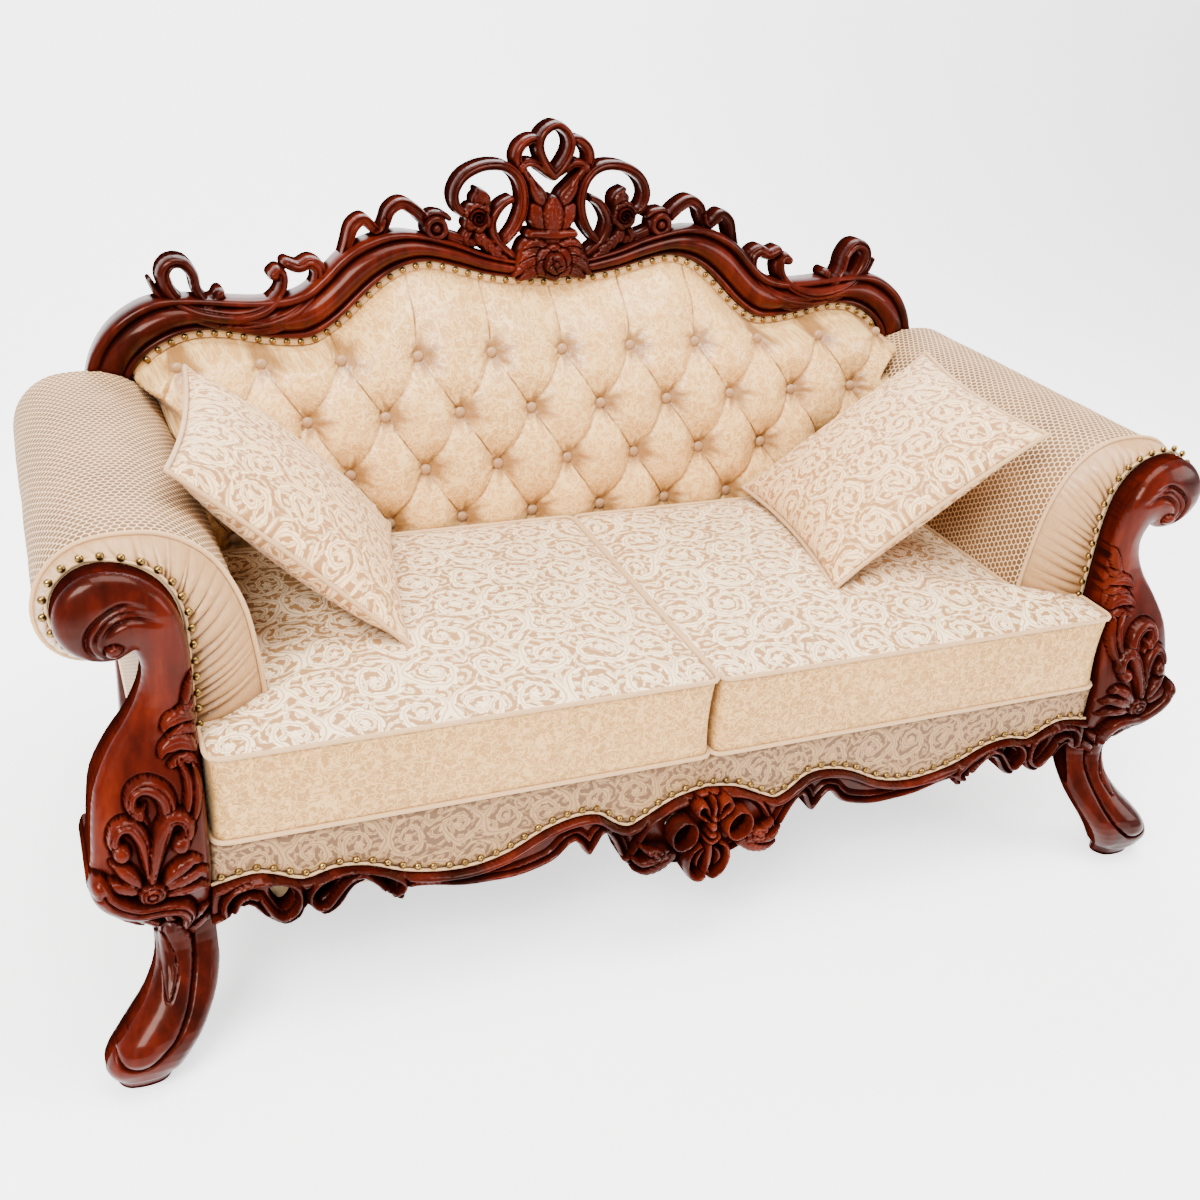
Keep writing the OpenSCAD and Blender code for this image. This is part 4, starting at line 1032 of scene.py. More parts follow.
def carve_scroll(hand, side):
    """C-scroll with its inner crescent, a rose with leaves, and a chain of husks below it."""
    h = on_side(hand)
    c = Carving(*sorted((hand * 34, hand * 184)), 844, 1018, 1.2, wider=4.5)
    c.stroke(h(up([(128, 246), (136, 240), (156, 243), (178, 252)])), [7, 8, 9], rounded, -1, 7)
    c.stroke(h(up([(72, 312), (86, 304), (99, 288), (104, 270), (94, 244), (66, 220)])), [8, 12, 13, 12, 9],
             one_groove, 1, 9)
    c.stroke(h([(80, 886), (64, 905), (53, 930), (51, 956), (58, 981), (73, 998), (96, 1006), (127, 1003),
                (155, 988), (169, 963), (164, 940), (150, 931), (141, 939)]),
             [9, 12, 13, 13, 13, 13, 13, 13, 12, 11, 10], two_grooves, 3, 10)
    # Leaf above the rose and husks below it
    c.stroke(h([(120, 938), (119, 953), (129, 967)]), [20, 19, 4], veined, 3, 10)
    c.stroke(h([(126, 940), (133, 952), (131, 960)]), [10, 10, 3], veined, 2, 8)
    for top, foot, wide in (((128, 264), (116, 238), 21), ((117, 250), (101, 228), 20),
                            ((105, 236), (88, 219), 19), ((93, 223), (74, 207), 17)):
        c.stroke(h(up([foot, ((top[0] + foot[0]) / 2 + 2, (top[1] + foot[1]) / 2), top])),
                 [4, wide, 8], veined, 3, 9)
    c.stroke(h(up([(142, 262), (149, 250), (146, 238)])), [9, 10, 3], veined, 1, 8)
    for k in range(6):
        a = math.radians(60 * k + 20)
        c.boss((hand * (130 + 13 * math.cos(a)), 924 + 13 * math.sin(a)), (13.5, 11), math.degrees(a) + 90,
               6, 8, hollow=0.3, groove=3)
    turn = np.linspace(0, 4.2 * math.pi, 34)
    spiral = [(hand * (130 + (14 - 3.1 * t / math.pi) * math.cos(t)),
               924 + (14 - 3.1 * t / math.pi) * math.sin(t)) for t in turn]
    c.stroke(spiral, [3, 3, 2.5, 3], rounded, 12, 7, steps=2, groove=5, line=2.4, cuts=False)
    piece = c.mesh("crest_scroll_carving_" + side, MAHOGANY, CARVED_FACE, CARVED_REAR, leant, edge=4.0)
    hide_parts("crest_scroll_" + side)


def carve_ribbon(hand, side):
    """Ribbon running from a rosette in two waves down to the crest."""
    h = on_side(hand)
    c = Carving(*sorted((hand * 126, hand * 362)), 860, 960, 1.3, wider=4.5)
    c.stroke(h(up([(129, 243), (165, 252), (193, 263)])), [9, 9, 9], rounded, -1, 7)
    c.stroke(h(up([(208, 272), (216, 279), (232, 295), (255, 307), (274, 297), (282, 278), (291, 264),
                   (303, 271), (318, 283), (334, 272), (342, 250), (350, 230)])),
             [12, 15, 16, 14, 12, 11, 13, 15, 13, 8], hollowed, 1, 9)
    c.stroke(h(up([(284, 282), (289, 268), (300, 262)])), [5, 8, 4], rounded, 3, 8, cuts=False)
    c.stroke(h(up([(176, 282), (186, 288), (205, 290), (216, 284)])), [4, 8, 9, 4], veined, 1, 8)
    rosette = (hand * 200, JOINT_H + 268)
    c.boss(rosette, (21, 21), 0, 1, 10, power=0.4)
    c.stroke(ellipse(rosette, 15 * hand, 15, 17), [6, 6], rounded, 9, 5, steps=2, groove=3)
    c.boss(rosette, (7.5, 7.5), 0, 9, 8, groove=3)
    piece = c.mesh("crest_ribbon_carving_" + side, MAHOGANY, CARVED_FACE, CARVED_REAR, leant, edge=4.0)
    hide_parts("crest_ribbon_" + side)


def carve_leaf(hand, side):
    """Long curling leaves that lie along the dip of the crest and turn over at both ends."""
    h = on_side(hand)
    c = Carving(*sorted((hand * 372, hand * 664)), 744, 884, 1.5)
    c.stroke(h([(648, 837), (634, 813), (600, 788), (560, 772), (510, 761), (466, 758), (424, 773)]),
             [7, 17, 19, 19, 19, 16, 8], one_groove, 0, 9)
    c.stroke(h([(441, 858), (422, 851), (403, 858), (389, 846), (391, 824), (412, 796), (448, 775),
                (500, 765), (546, 768)]), [17, 21, 25, 26, 26, 25, 21, 17, 8], two_grooves, 2, 10)
    c.stroke(h([(547, 813), (553, 805), (567, 803), (579, 820), (584, 845), (599, 863), (618, 862),
                (628, 845), (620, 820), (598, 798), (562, 786), (517, 781), (476, 792), (453, 813),
                (447, 836), (455, 847), (462, 842)]),
             [18, 17, 16, 17, 20, 23, 23, 19, 19, 23, 25, 26, 23, 20, 18, 17, 16], one_groove, 4, 12)
    c.boss((hand * 546, 815), (9, 9), 0, 9, 8)
    c.boss((hand * 462, 841), (9, 9), 0, 9, 8)
    # The lower leaves come forward over the mouldings of the rail
    face = CARVED_FACE - 14 * np.clip((808 - c.Z) / 26, 0, 1)
    piece = c.mesh("crest_leaf_carving_" + side, MAHOGANY, face, CARVED_REAR, leant, edge=5.0)
    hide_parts("crest_leaf_" + side)


def post_depths(z):
    """How far forward the post's face stands at a height, and where its rear is."""
    order = np.argsort(post_front[:, 1])
    face = np.interp(z, post_front[order, 1], post_front[order, 0])
    under = post_rear[np.argsort(post_rear[:, 1])]
    leg = np.interp(z, under[:, 1], under[:, 0])
    block = np.where(z < 330, -262.0, POST_BACK)
    return face, np.where(z < 190, leg, block)


def carve_post(hand, side):
    """Front post: volute with two crescent grooves, husks, scrolls and a knee over a tongued foot."""
    h = on_side(hand, POST_IN)
    lo, hi = sorted((hand * (POST_IN - 3), hand * (POST_IN + 162)))
    c = Carving(lo, hi, -2, 698, 1.6)
    c.board(post_outline * [hand, 1])
    c.height[:] = 0
    # Volute: gouged crescents that sweep round to a small curl
    c.dent(h([(44, 650), (72, 659), (93, 650), (109, 636), (115, 618), (111, 600), (101, 590), (90, 591)]),
           7, 7, taper=0.22)
    c.dent(h([(36, 641), (68, 650), (88, 643), (101, 629), (105, 613), (100, 603), (93, 601)]), 5.5, 6,
           taper=0.25)
    c.dent(h([(28, 630), (62, 641), (82, 636), (93, 625), (95, 613), (89, 606)]), 8, 8, taper=0.3)
    c.boss(h((86, 602)), (10, 9), 0, 1, 7, cuts=False, groove=4)
    # Husks down the inner edge
    for path, wide in (([(2, 556), (8, 534), (15, 514)], 11), ([(3, 520), (12, 514), (22, 514)], 12),
                       ([(3, 497), (16, 505), (32, 503), (41, 494)], 18),
                       ([(3, 482), (18, 489), (36, 484)], 14),
                       ([(4, 458), (20, 474), (40, 472), (47, 462)], 20),
                       ([(4, 444), (20, 455), (38, 450)], 14),
                       ([(27, 456), (18, 430), (20, 404), (30, 378)], 12),
                       ([(11, 446), (7, 420), (12, 392), (26, 368)], 12)):
        c.stroke(h(path), [4, wide, wide, 5], swelling if wide > 12 else rounded, 1, 10, cuts=False,
                 groove=5)
    # Upper scroll and the pair below it, all springing from the button
    c.stroke(h([(79, 400), (87, 411), (82, 428), (65, 431), (48, 416), (46, 388), (58, 356), (67, 330),
                (72, 306)]), [12, 15, 20, 22, 20, 17, 15, 12, 8], one_groove, 2, 13, cuts=False, groove=6)
    c.boss(h((79, 400)), (8, 8), 0, 5, 10, cuts=False, groove=4)
    c.stroke(h([(70, 385), (76, 398), (70, 410)]), [5, 9, 4], rounded, 0, 7, cuts=False, groove=3)
    for path, curl in (([(103, 357), (111, 371), (103, 388), (88, 387), (78, 368), (75, 345), (74, 314)],
                        (103, 356)),
                       ([(35, 356), (24, 368), (28, 385), (43, 389), (56, 374), (64, 347), (71, 314)],
                        (35, 355))):
        c.stroke(h(path), [14, 15, 18, 19, 16, 13, 8], one_groove, 3, 12, cuts=False, groove=6)
        c.boss(h(curl), (11, 11), 0, 6, 10, cuts=False, groove=5)
    # Leaves either side of the button
    for path, wide in (([(60, 300), (44, 319), (26, 330), (14, 326)], 19),
                       ([(58, 294), (38, 305), (18, 311), (6, 306)], 18),
                       ([(60, 285), (38, 289), (20, 288), (7, 280)], 17),
                       ([(84, 304), (96, 324), (108, 338), (116, 344)], 18),
                       ([(86, 297), (104, 309), (120, 316), (130, 322)], 18)):
        c.stroke(h(path), [6, wide, wide, 5], veined, 3, 12, cuts=False, groove=5)
    c.boss(h((73, 292)), (17, 17), 0, 7, 10, power=0.35, cuts=False, groove=6)
    c.stroke(h(ellipse((73, 292), 9, 9, 14)), [4, 4], rounded, 14, 4, cuts=False, groove=5, steps=2)
    c.boss(h((73, 292)), (4.5, 4.5), 0, 12, 5, cuts=False, groove=2)
    # Leaves under the knee, and the scrolled band that folds over it
    for path, wide in (([(120, 254), (104, 243), (92, 231), (84, 216)], 17),
                       ([(96, 250), (82, 236), (70, 222), (66, 206)], 16),
                       ([(6, 240), (22, 230), (38, 216), (44, 204)], 19),
                       ([(4, 222), (16, 212), (28, 200), (34, 190)], 15),
                       ([(60, 250), (54, 236), (50, 222), (52, 208)], 14)):
        c.stroke(h(path), [6, wide, wide, 5], veined, 3, 10, groove=5)
    c.stroke(h([(133, 318), (128, 298), (112, 278), (90, 264), (64, 263), (42, 258), (32, 240), (36, 219)]),
             [22, 29, 30, 28, 26, 26, 20, 9], one_groove, 9, 15, groove=7, line=3)
    c.boss(h((134, 319)), (11, 13), 0, 12, 13, cuts=False, groove=4)
    # Tongue down the leg, in a frame that turns round the toe
    c.stroke(h([(54, 214), (50, 186), (54, 158), (70, 122), (90, 97), (108, 78)]),
             [26, 42, 48, 54, 60, 54], rounded, -3, 11, cuts=False, groove=9, line=5)
    c.stroke(h([(66, 196), (61, 172), (60, 150), (66, 128)]), [6, 15, 17, 6], swelling, 5, 8, cuts=False,
             groove=5)
    # The rounding runs on below the floor, so that the foot stands on a flat end
    c.soft = c.inside.copy()
    c.inside = np.minimum(c.inside, c.Z)
    face, rear = post_depths(c.Z)
    # The foot ends in a low plinth that stands back under the toe
    face = face + 6 * np.clip((24 - c.Z) / 5, 0, 1)
    bulge = np.clip(c.soft / 34, 0, 1)
    swell = 9 * (1 - (1 - bulge) ** 2)
    volute = np.hypot(c.X - hand * VOLUTE_X, c.Z - VOLUTE_Z)
    face = face + 7 - swell - 3 * np.exp(-(volute / 40) ** 2)
    piece = c.mesh("front_post_carving_" + side, MAHOGANY, face, rear,
                   edge=np.where(c.Z < 200, 17.0, 10.0), rear_edge=np.where(c.Z < 190, 22.0, 6.0),
                   share=0.62, wall_shade=0.5)
    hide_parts("front_post_" + side)


def carve_apron():
    """Serpentine apron with a bead along its wavy lower edge and pierced loops towards the posts."""
    c = Carving(-703, 703, 110, 276, 1.6)
    c.board(apron_outline)
    # A broad bead and a narrow one, each with a quirk above it, follow the lower edge
    below = np.concatenate([[(-760, 206)], across(apron_low), [(760, 206), (760, -60), (-760, -60)]])
    low = np.abs(c.distance_in(below))
    c.height = c.height + np.interp(low, [0, 2, 4, 6.5, 8.5, 11, 12], [5, 8, 8.5, 6, -5, -5, 0])
    c.height = c.height + np.where(np.abs(c.X) < 446, np.interp(
        low, [11, 12, 13.5, 16, 18, 20, 23], [0, 0, 4, 4, -3.5, -3.5, 0]), 0)
    for hand in (1, -1):
        h = on_side(hand)
        # Bead under the cloth, and the hollow scrolls round the piercings
        c.stroke(h(shifted(apron_top, -6)), [9, 9], rounded, 1, 7, cuts=False, steps=1, groove=3)
        for path in ([(687, 222), (685, 240), (674, 254), (652, 260), (630, 259), (611, 254), (595, 243),
                      (590, 222), (597, 203), (613, 195), (626, 206), (636, 224), (643, 238)],
                     [(674, 222), (668, 238), (656, 243), (646, 238)],
                     [(466, 198), (454, 202), (452, 214), (469, 230), (495, 244), (520, 251), (545, 250),
                      (567, 241), (578, 222), (571, 203), (556, 201), (542, 218), (527, 236), (508, 241),
                      (494, 228), (480, 208)],
                     [(136, 180), (123, 178), (112, 192), (98, 220), (80, 240), (56, 252), (34, 258)]):
            c.stroke(h(path), [7.5, 7.5], rounded, 3, 8, cuts=False, groove=6, line=4)
        for hole in ([(630, 243), (617, 247), (602, 236), (599, 217), (611, 203), (622, 216)],
                     [(540, 243), (554, 236), (570, 221), (566, 209), (553, 215), (541, 231)],
                     [(481, 231), (469, 222), (462, 211), (469, 206), (477, 216)],
                     [(45, 238), (31, 230), (27, 212), (36, 193), (52, 193), (62, 211), (59, 230)]):
            c.cut(smooth(h(hole + hole[:2]))[1:-3])
    piece = c.mesh("apron_carving", MAHOGANY, APRON_FACE + 9, RAIL_FACE, edge=5.0, rear_edge=1.5,
                   share=0.5, wall_shade=0.7)
    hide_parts("apron_rail")


def carve_apron_cartouche():
    """Raised centre of the apron: two hoops, a palmette between them and a leafy drop below."""
    c = Carving(-124, 124, 100, 276, 1.3)
    for hand in (1, -1):
        h = on_side(hand)
        c.stroke(h([(58, 178), (76, 166), (98, 160), (116, 166)]), [18, 20, 15, 6], veined, 0, 10)
        c.stroke(h([(70, 182), (88, 178), (106, 176), (118, 184)]), [12, 15, 12, 5], veined, 1, 10)
        c.stroke(h([(66, 190), (80, 192), (96, 194), (108, 204)]), [10, 12, 10, 5], veined, 0, 9)
        c.stroke(h(ellipse((45, 217), 20, 24, 25)), [7, 7], rounded, 5, 11, steps=2, groove=6)
        # Looped leaf of the palmette, with a curl at its root
        c.stroke(h([(5, 232), (13, 239), (24, 247), (28, 257), (21, 265), (12, 259), (8, 246)]),
                 [5, 6, 7, 8, 7, 6, 5], one_groove, 6, 9, groove=6)
        c.boss(h((15, 238)), (5, 5), 0, 8, 6, cuts=False, groove=3)
        # The drop is a shield whose two edges curl in at its foot
        c.stroke(h([(15, 192), (27, 184), (33, 168), (32, 151), (24, 136), (12, 129), (3, 134), (3, 143)]),
                 [6, 8, 9, 9, 9, 9, 7, 5], one_groove, 4, 11, groove=5)
        c.stroke(h([(4, 184), (14, 177), (19, 163), (14, 149)]), [4, 8, 8, 4], veined, 2, 9, groove=4)
        c.boss(h((86, 189)), (14, 12), 10, 4, 9, petals=5, cuts=False, groove=4, hollow=0.4)
        c.boss(h((86, 189)), (6, 5), 0, 9, 6, petals=3, cuts=False, groove=3)
    c.stroke([(0, 196), (0, 176), (0, 156), (0, 140)], [7, 11, 10, 5], veined, 5, 10, groove=5)
    c.stroke([(-13, 207), (0, 198), (13, 207)], [4, 9, 4], rounded, 9, 9, groove=4)
    c.stroke([(0, 234), (0, 246), (0, 257), (0, 268)], [5, 7, 9, 5], veined, 6, 10, groove=5)
    for z, size in ((210, (8, 5)), (225, (6, 9)), (239, (5, 5))):
        c.boss((0, z), size, 0, 12, 6, groove=2)
    rear = np.where(c.distance_in(apron_outline) > 0, APRON_FACE + 6.0, RAIL_FACE - 6.0)
    piece = c.mesh("apron_cartouche_carving", MAHOGANY, APRON_FACE - 8, rear, edge=4.0)
    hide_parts("apron_cartouche")


def node_tree(name, inputs):
    """A geometry node tree with a Geometry input and output, and these number inputs."""
    tree = bpy.data.node_groups.new(name, "GeometryNodeTree")
    tree.interface.new_socket("Geometry", in_out="INPUT", socket_type="NodeSocketGeometry")
    tree.interface.new_socket("Finish", in_out="INPUT", socket_type="NodeSocketMaterial")
    for key, value in inputs.items():
        kind = "NodeSocketInt" if isinstance(value, int) else (
            "NodeSocketVector" if isinstance(value, tuple) else "NodeSocketFloat")
        tree.interface.new_socket(key, in_out="INPUT", socket_type=kind).default_value = value
    tree.interface.new_socket("Geometry", in_out="OUTPUT", socket_type="NodeSocketGeometry")
    return tree, tree.nodes.new("NodeGroupInput"), tree.nodes.new("NodeGroupOutput")


def chain(tree, *sockets):
    for a, b in zip(sockets[::2], sockets[1::2]):
        tree.links.new(a, b)


def ended(tree, made, src, out):
    """Shades what was made smooth, realizes it and gives it its finish."""
    shade = tree.nodes.new("GeometryNodeSetShadeSmooth")
    whole = tree.nodes.new("GeometryNodeRealizeInstances")
    finish = tree.nodes.new("GeometryNodeSetMaterial")
    chain(tree, made, shade.inputs[0], shade.outputs[0], whole.inputs[0], whole.outputs[0],
          finish.inputs["Geometry"], src.outputs["Finish"], finish.inputs["Material"],
          finish.outputs[0], out.inputs[0])
    return tree


def cord_tree():
    """Turns a line of edges into a round cord of the radius Radius."""
    tree, src, out = node_tree("cord_along_path", {"Radius": 0.003, "Sides": 8})
    curve = tree.nodes.new("GeometryNodeMeshToCurve")
    ring = tree.nodes.new("GeometryNodeCurvePrimitiveCircle")
    sweep = tree.nodes.new("GeometryNodeCurveToMesh")
    sweep.inputs["Fill Caps"].default_value = True
    chain(tree, src.outputs["Geometry"], curve.inputs[0], src.outputs["Radius"], ring.inputs["Radius"],
          src.outputs["Sides"], ring.inputs["Resolution"], curve.outputs[0], sweep.inputs["Curve"],
          ring.outputs[0], sweep.inputs["Profile Curve"])
    return ended(tree, sweep.outputs[0], src, out)


def dome_tree():
    """Sets a domed head, Radius wide and Height tall, on every point, turned by Turn."""
    tree, src, out = node_tree("domes_on_points", {"Radius": 0.0055, "Height": 0.004, "Sides": 10,
                                                   "Rings": 5, "Turn": (0.0, 0.0, 0.0)})
    ball = tree.nodes.new("GeometryNodeMeshUVSphere")
    ball.inputs["Radius"].default_value = 1.0
    size = tree.nodes.new("ShaderNodeCombineXYZ")
    seat = tree.nodes.new("GeometryNodeInstanceOnPoints")
    chain(tree, src.outputs["Sides"], ball.inputs["Segments"], src.outputs["Rings"], ball.inputs["Rings"],
          src.outputs["Radius"], size.inputs[0], src.outputs["Radius"], size.inputs[1],
          src.outputs["Height"], size.inputs[2], src.outputs["Geometry"], seat.inputs["Points"],
          ball.outputs[0], seat.inputs["Instance"], size.outputs[0], seat.inputs["Scale"],
          src.outputs["Turn"], seat.inputs["Rotation"])
    return ended(tree, seat.outputs[0], src, out)


CORD_TREE = cord_tree()
DOME_TREE = dome_tree()


def grown(name, tree, points, edges, finish, body="root", **inputs):
    """Runs a tree over points in millimetres and keeps the result as a plain mesh."""
    mesh = bpy.data.meshes.new(name)
    mesh.from_pydata((np.asarray(points, float) * MM).tolist(), edges, [])
    piece = placed(name, mesh)
    mod = piece.modifiers.new("grow", "NODES")
    mod.node_group = tree
    inputs["Finish"] = finish
    for item in tree.interface.items_tree:
        if item.in_out == "INPUT" and item.name in inputs:
            mod[item.identifier] = inputs[item.name]
    apply_modifiers(piece)
    piece.data.materials.clear()
    piece.data.materials.append(finish)
    piece.data.polygons.foreach_set("material_index", [0] * len(piece.data.polygons))
    pieces[name] = (piece, body)
    return piece


def cord(name, path, radius, finish, body="root", closed=False, sides=8):
    n = len(path)
    edges = [(k, k + 1) for k in range(n - 1)] + ([(n - 1, 0)] if closed else [])
    return grown(name, CORD_TREE, path, edges, finish, body, Radius=radius * MM, Sides=sides)


def domes(name, spots, finish, radius, height, sides=10, rings=6):
    """Domed heads that look forward, one on every spot."""
    return grown(name, DOME_TREE, spots, [], finish, Radius=radius * MM, Height=height * MM,
                 Turn=(math.pi / 2, 0.0, 0.0), Sides=sides, Rings=rings)


def nail_places(line):
    return spread(line, max(2, round(lengths(line)[-1] / NAIL_PITCH)))


def nail_row(name, spots, height=4.4):
    return domes(name, spots, BRASS, NAIL_R, height)


rng = np.random.default_rng(7)


def lumps(points, size, amount, seed=0.0):
    """A gentle unevenness of cloth over padding, in millimetres."""
    return np.array([noise.noise(Vector((p[0] / size + seed, p[1] / size, p[2] / size)))
                     for p in points]) * amount


def crest_low(x):
    return np.interp(np.abs(x), crest_in[:, 0], crest_in[:, 1])


def arm_side(z):
    near = arm_line[arm_line[:, 0] < SEAT_HALF + 150]
    return np.interp(z, near[:, 1], near[:, 0])


def pad_side(z):
    return np.minimum(PAD_HALF, arm_side(z) - 1)


def puff(z):
    heights = [TUFT_TOP + d for d in (-267, -217, -172, -122, -72, -27, 28, 78, 143)]
    return np.interp(z, [DECK_H] + heights, [0, 0, 3, 10, 20, 34, 50, 80, 108, 136])


def tuft_places():
    spots = []
    for r in range(4):
        for k in range(-5, 6):
            x = (k + (r % 2) / 2) * TUFT_PITCH
            z = TUFT_TOP - r * TUFT_ROW
            if abs(x) < pad_side(z) - 19:
                spots.append((x, z))
    return spots


def tufted(x, z):
    """Depth of the buttoning at a point: 0 on a puff's crown, 1 at a button."""
    r = np.minimum((z - TUFT_TOP) / (2 * TUFT_ROW), 0)
    u, v = x / TUFT_PITCH + r, x / TUFT_PITCH - r
    q = np.abs(np.sin(np.pi * u) * np.sin(np.pi * v))
    c = (np.cos(np.pi * u) * np.cos(np.pi * v)) ** 2
    high = np.clip((z - TUFT_TOP) / 70, 0, 1)
    return 0.5 * (1 - q ** 0.6) + 0.5 * c * (1 - high)


def fold_lines(x, z):
    """Narrow folds that run from button to button, and up from the top row to the crest."""
    r = np.minimum((z - TUFT_TOP) / (2 * TUFT_ROW), 0)
    u, v = x / TUFT_PITCH + r, x / TUFT_PITCH - r
    near = np.minimum(np.abs(u - np.round(u)), np.abs(v - np.round(v))) * TUFT_PITCH * 0.85
    high = np.clip(1 - (z - TUFT_TOP) / 110, 0.25, 1)
    return np.exp(-(near / 2.6) ** 2) * high


def pad_depth(x, z, top):
    full = PAD_Y + puff(z) + TUFT_DEPTH * tufted(x, z) + 2.6 * fold_lines(x, z)
    for n, (bx, bz) in enumerate(tuft_places()):
        dx, dz = x - bx, z - bz
        d = np.hypot(dx, dz)
        close = d < 62
        a = np.arctan2(dz[close], dx[close])
        pull = np.exp(-((d[close] - 12) / 17) ** 2) * np.cos(a * (9 + n % 4) + n * 1.7) * 1.5
        fine = np.exp(-(d[close] / 24) ** 2) * np.cos(a * 19 + n) * 0.8
        full[close] += pull + fine + 3.0 * np.exp(-(d[close] / 11) ** 2)
    h = np.maximum(10, np.minimum(60, top - 14 - TUFT_TOP))
    m = np.minimum(np.minimum((top - 14 - z) / h, (pad_side(z) - np.abs(x)) / 40), 1)
    t = np.sin(np.pi / 2 * np.clip(m, 0, 1))
    edge = CREST_FACE + 5 * math.cos(LEAN) + (z - LEAN_AXIS_Z) * math.sin(LEAN)
    return np.where(z < ARM_H - 60, full, full * t + edge * (1 - t))


def back_pad():
    """Deep-buttoned back: puffs in diamonds with a fold along each side."""
    columns, rows = 281, 112
    s = np.linspace(-1, 1, columns)
    t = np.linspace(0, 1, rows)
    top = crest_low(s * PAD_HALF) - 4
    low = DECK_H + 1.0
    Z = low + (top[None, :] - low) * t[:, None]
    X = pad_side(Z) * s[None, :]
    top_at = crest_low(X) - 4
    Y = pad_depth(X, Z, top_at)
    flat = np.stack([X, Y, Z], -1).reshape(-1, 3)
    flat[:, 1] += lumps(flat, 38, 1.4) + lumps(flat, 13, 0.5, 9.0)
    # The edges stay down behind the crest and the arms
    flat[:, 1] = flat[:, 1].clip(PAD_Y - 1, None)
    n = len(flat)
    rear_v = LEAN_AXIS_Z + (flat[:, 2] - LEAN_AXIS_Z) / math.cos(LEAN) + CREST_T * math.tan(LEAN)
    rear = leant(flat[:, 0], np.full(n, CREST_T - 0.5), rear_v)
    rear[:, 2] = flat[:, 2]
    faces = grid_faces(rows, columns)
    rim = ([i for i in range(columns)] + [j * columns + columns - 1 for j in range(1, rows)]
           + [(rows - 1) * columns + i for i in range(columns - 2, -1, -1)]
           + [j * columns for j in range(rows - 2, 0, -1)])
    for k in range(len(rim)):
        a, b = rim[k], rim[(k + 1) % len(rim)]
        faces.append((b, a, n + k, n + (k + 1) % len(rim)))
    points = np.concatenate([flat, rear[rim]])
    faces.append(tuple(n + k for k in range(len(rim)))[::-1])
    uv = np.concatenate([flat[:, [0, 2]], rear[rim][:, [0, 2]]]) * MM
    # Painted shade along the folds and in a ragged halo round each button.
    fold_and_button_shade = 0.4 * fold_lines(flat[:, 0], flat[:, 2])
    for k, (x, z) in enumerate(tuft_places()):
        dx, dz = flat[:, 0] - x - 3, flat[:, 2] - z - 2
        d, a = np.hypot(dx, dz), np.arctan2(dz, dx)
        reach = 21 + 5 * np.cos(a * 7 + k) + 3 * np.cos(a * 13 + 2 * k) + 5 * np.cos(a)
        fold_and_button_shade = np.maximum(fold_and_button_shade, 1.4 * np.exp(-(d / reach) ** 2))
    painted_shade = np.concatenate([fold_and_button_shade, np.zeros(len(points) - n)])
    piece = solid("back_cushioning", points, faces, SATIN, uv=uv, marks={"painted_shade": painted_shade})
    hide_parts("back_pad")
    heads = []
    for x, z in tuft_places():
        y = pad_depth(np.array([x]), np.array([z]), crest_low(np.array([x])) - 4)[0]
        heads.append((x, y - 6.5, z))
    buttons = domes("covered_buttons", heads, BUTTON_CLOTH, 9.3, 5.6, sides=20, rings=10)
    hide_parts("back_buttons")


def crest_trim():
    """Gimp braid and brass nails along the lower edge of the crest."""
    half = crest_in[crest_in[:, 1] > ARM_H + 9]
    mid = shifted(half, -6.5)
    line = across(mid)
    line = spread(line, int(lengths(line)[-1] / 2.0))
    n = normals(line)
    s = lengths(line)
    profile = [(-6.2, 3.6), (-5.6, 1.4), (-4.4, 0.6), (-3.2, 1.5), (-1.6, 0.2), (0, 0), (1.6, 0.2),
               (3.2, 1.5), (4.4, 0.6), (5.6, 1.4), (6.2, 3.6)]
    rows = []
    for k, (w, y) in enumerate(profile):
        ripple = 0.5 * np.sin(s * 2 * math.pi / 5.0 + (k % 2) * math.pi) * (abs(w) < 6)
        p = line + n * (w * (1 + 0.04 * np.sin(s * 2 * math.pi / 5.0)))[:, None]
        rows.append(leant(p[:, 0], y + ripple, p[:, 1]))
    m = len(profile)
    points = np.stack(rows, 1).reshape(-1, 3)
    piece = solid("crest_gimp", points, grid_faces(len(line), m)
                  + [tuple(k * m + i for i in (0, m - 1)) + tuple((k + 1) * m + i for i in (m - 1, 0))
                     for k in range(len(line) - 1)]
                  + [tuple(range(m - 1, -1, -1)), tuple((len(line) - 1) * m + i for i in range(m))],
                  WELT)
    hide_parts("back_gimp")
    nails = nail_row("crest_nails", leant_at(nail_places(across(mid)), -0.2), 4.0)
    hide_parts("back_nails")


def apron_trim():
    """Cloth border under the cushions, its edge braid and its nails."""
    c = Carving(-700, 700, 204, 329, 4.0)
    c.board(np.concatenate([[(-700, 325), (700, 325)], across(apron_top)[::-1]]))
    soft = 2.5 * np.clip(c.inside / 12, 0, 1)
    piece = c.mesh("cloth_border", SHADED_BORDER_DAMASK, BORDER_FACE - soft, RAIL_FACE - 1, edge=4.0,
                   rear_edge=1.0)
    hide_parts("front_border")
    edge = across(shifted(apron_top, 2.5))
    edge = spread(edge, 420)
    cord("border_edge_cord", stood_at(edge, BORDER_FACE - 3.5), EDGE_CORD_R, WELT, sides=6)
    line = across(shifted(apron_top, NAIL_R + 3))
    line = line[np.abs(line[:, 0]) < POST_IN - NAIL_R - 3]
    nails = nail_row("border_nails", stood_at(nail_places(line), BORDER_FACE - 3.1))
    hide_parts("apron_nails")


def towards(centre, points):
    way = centre - points
    return way / np.linalg.norm(way, axis=1, keepdims=True)


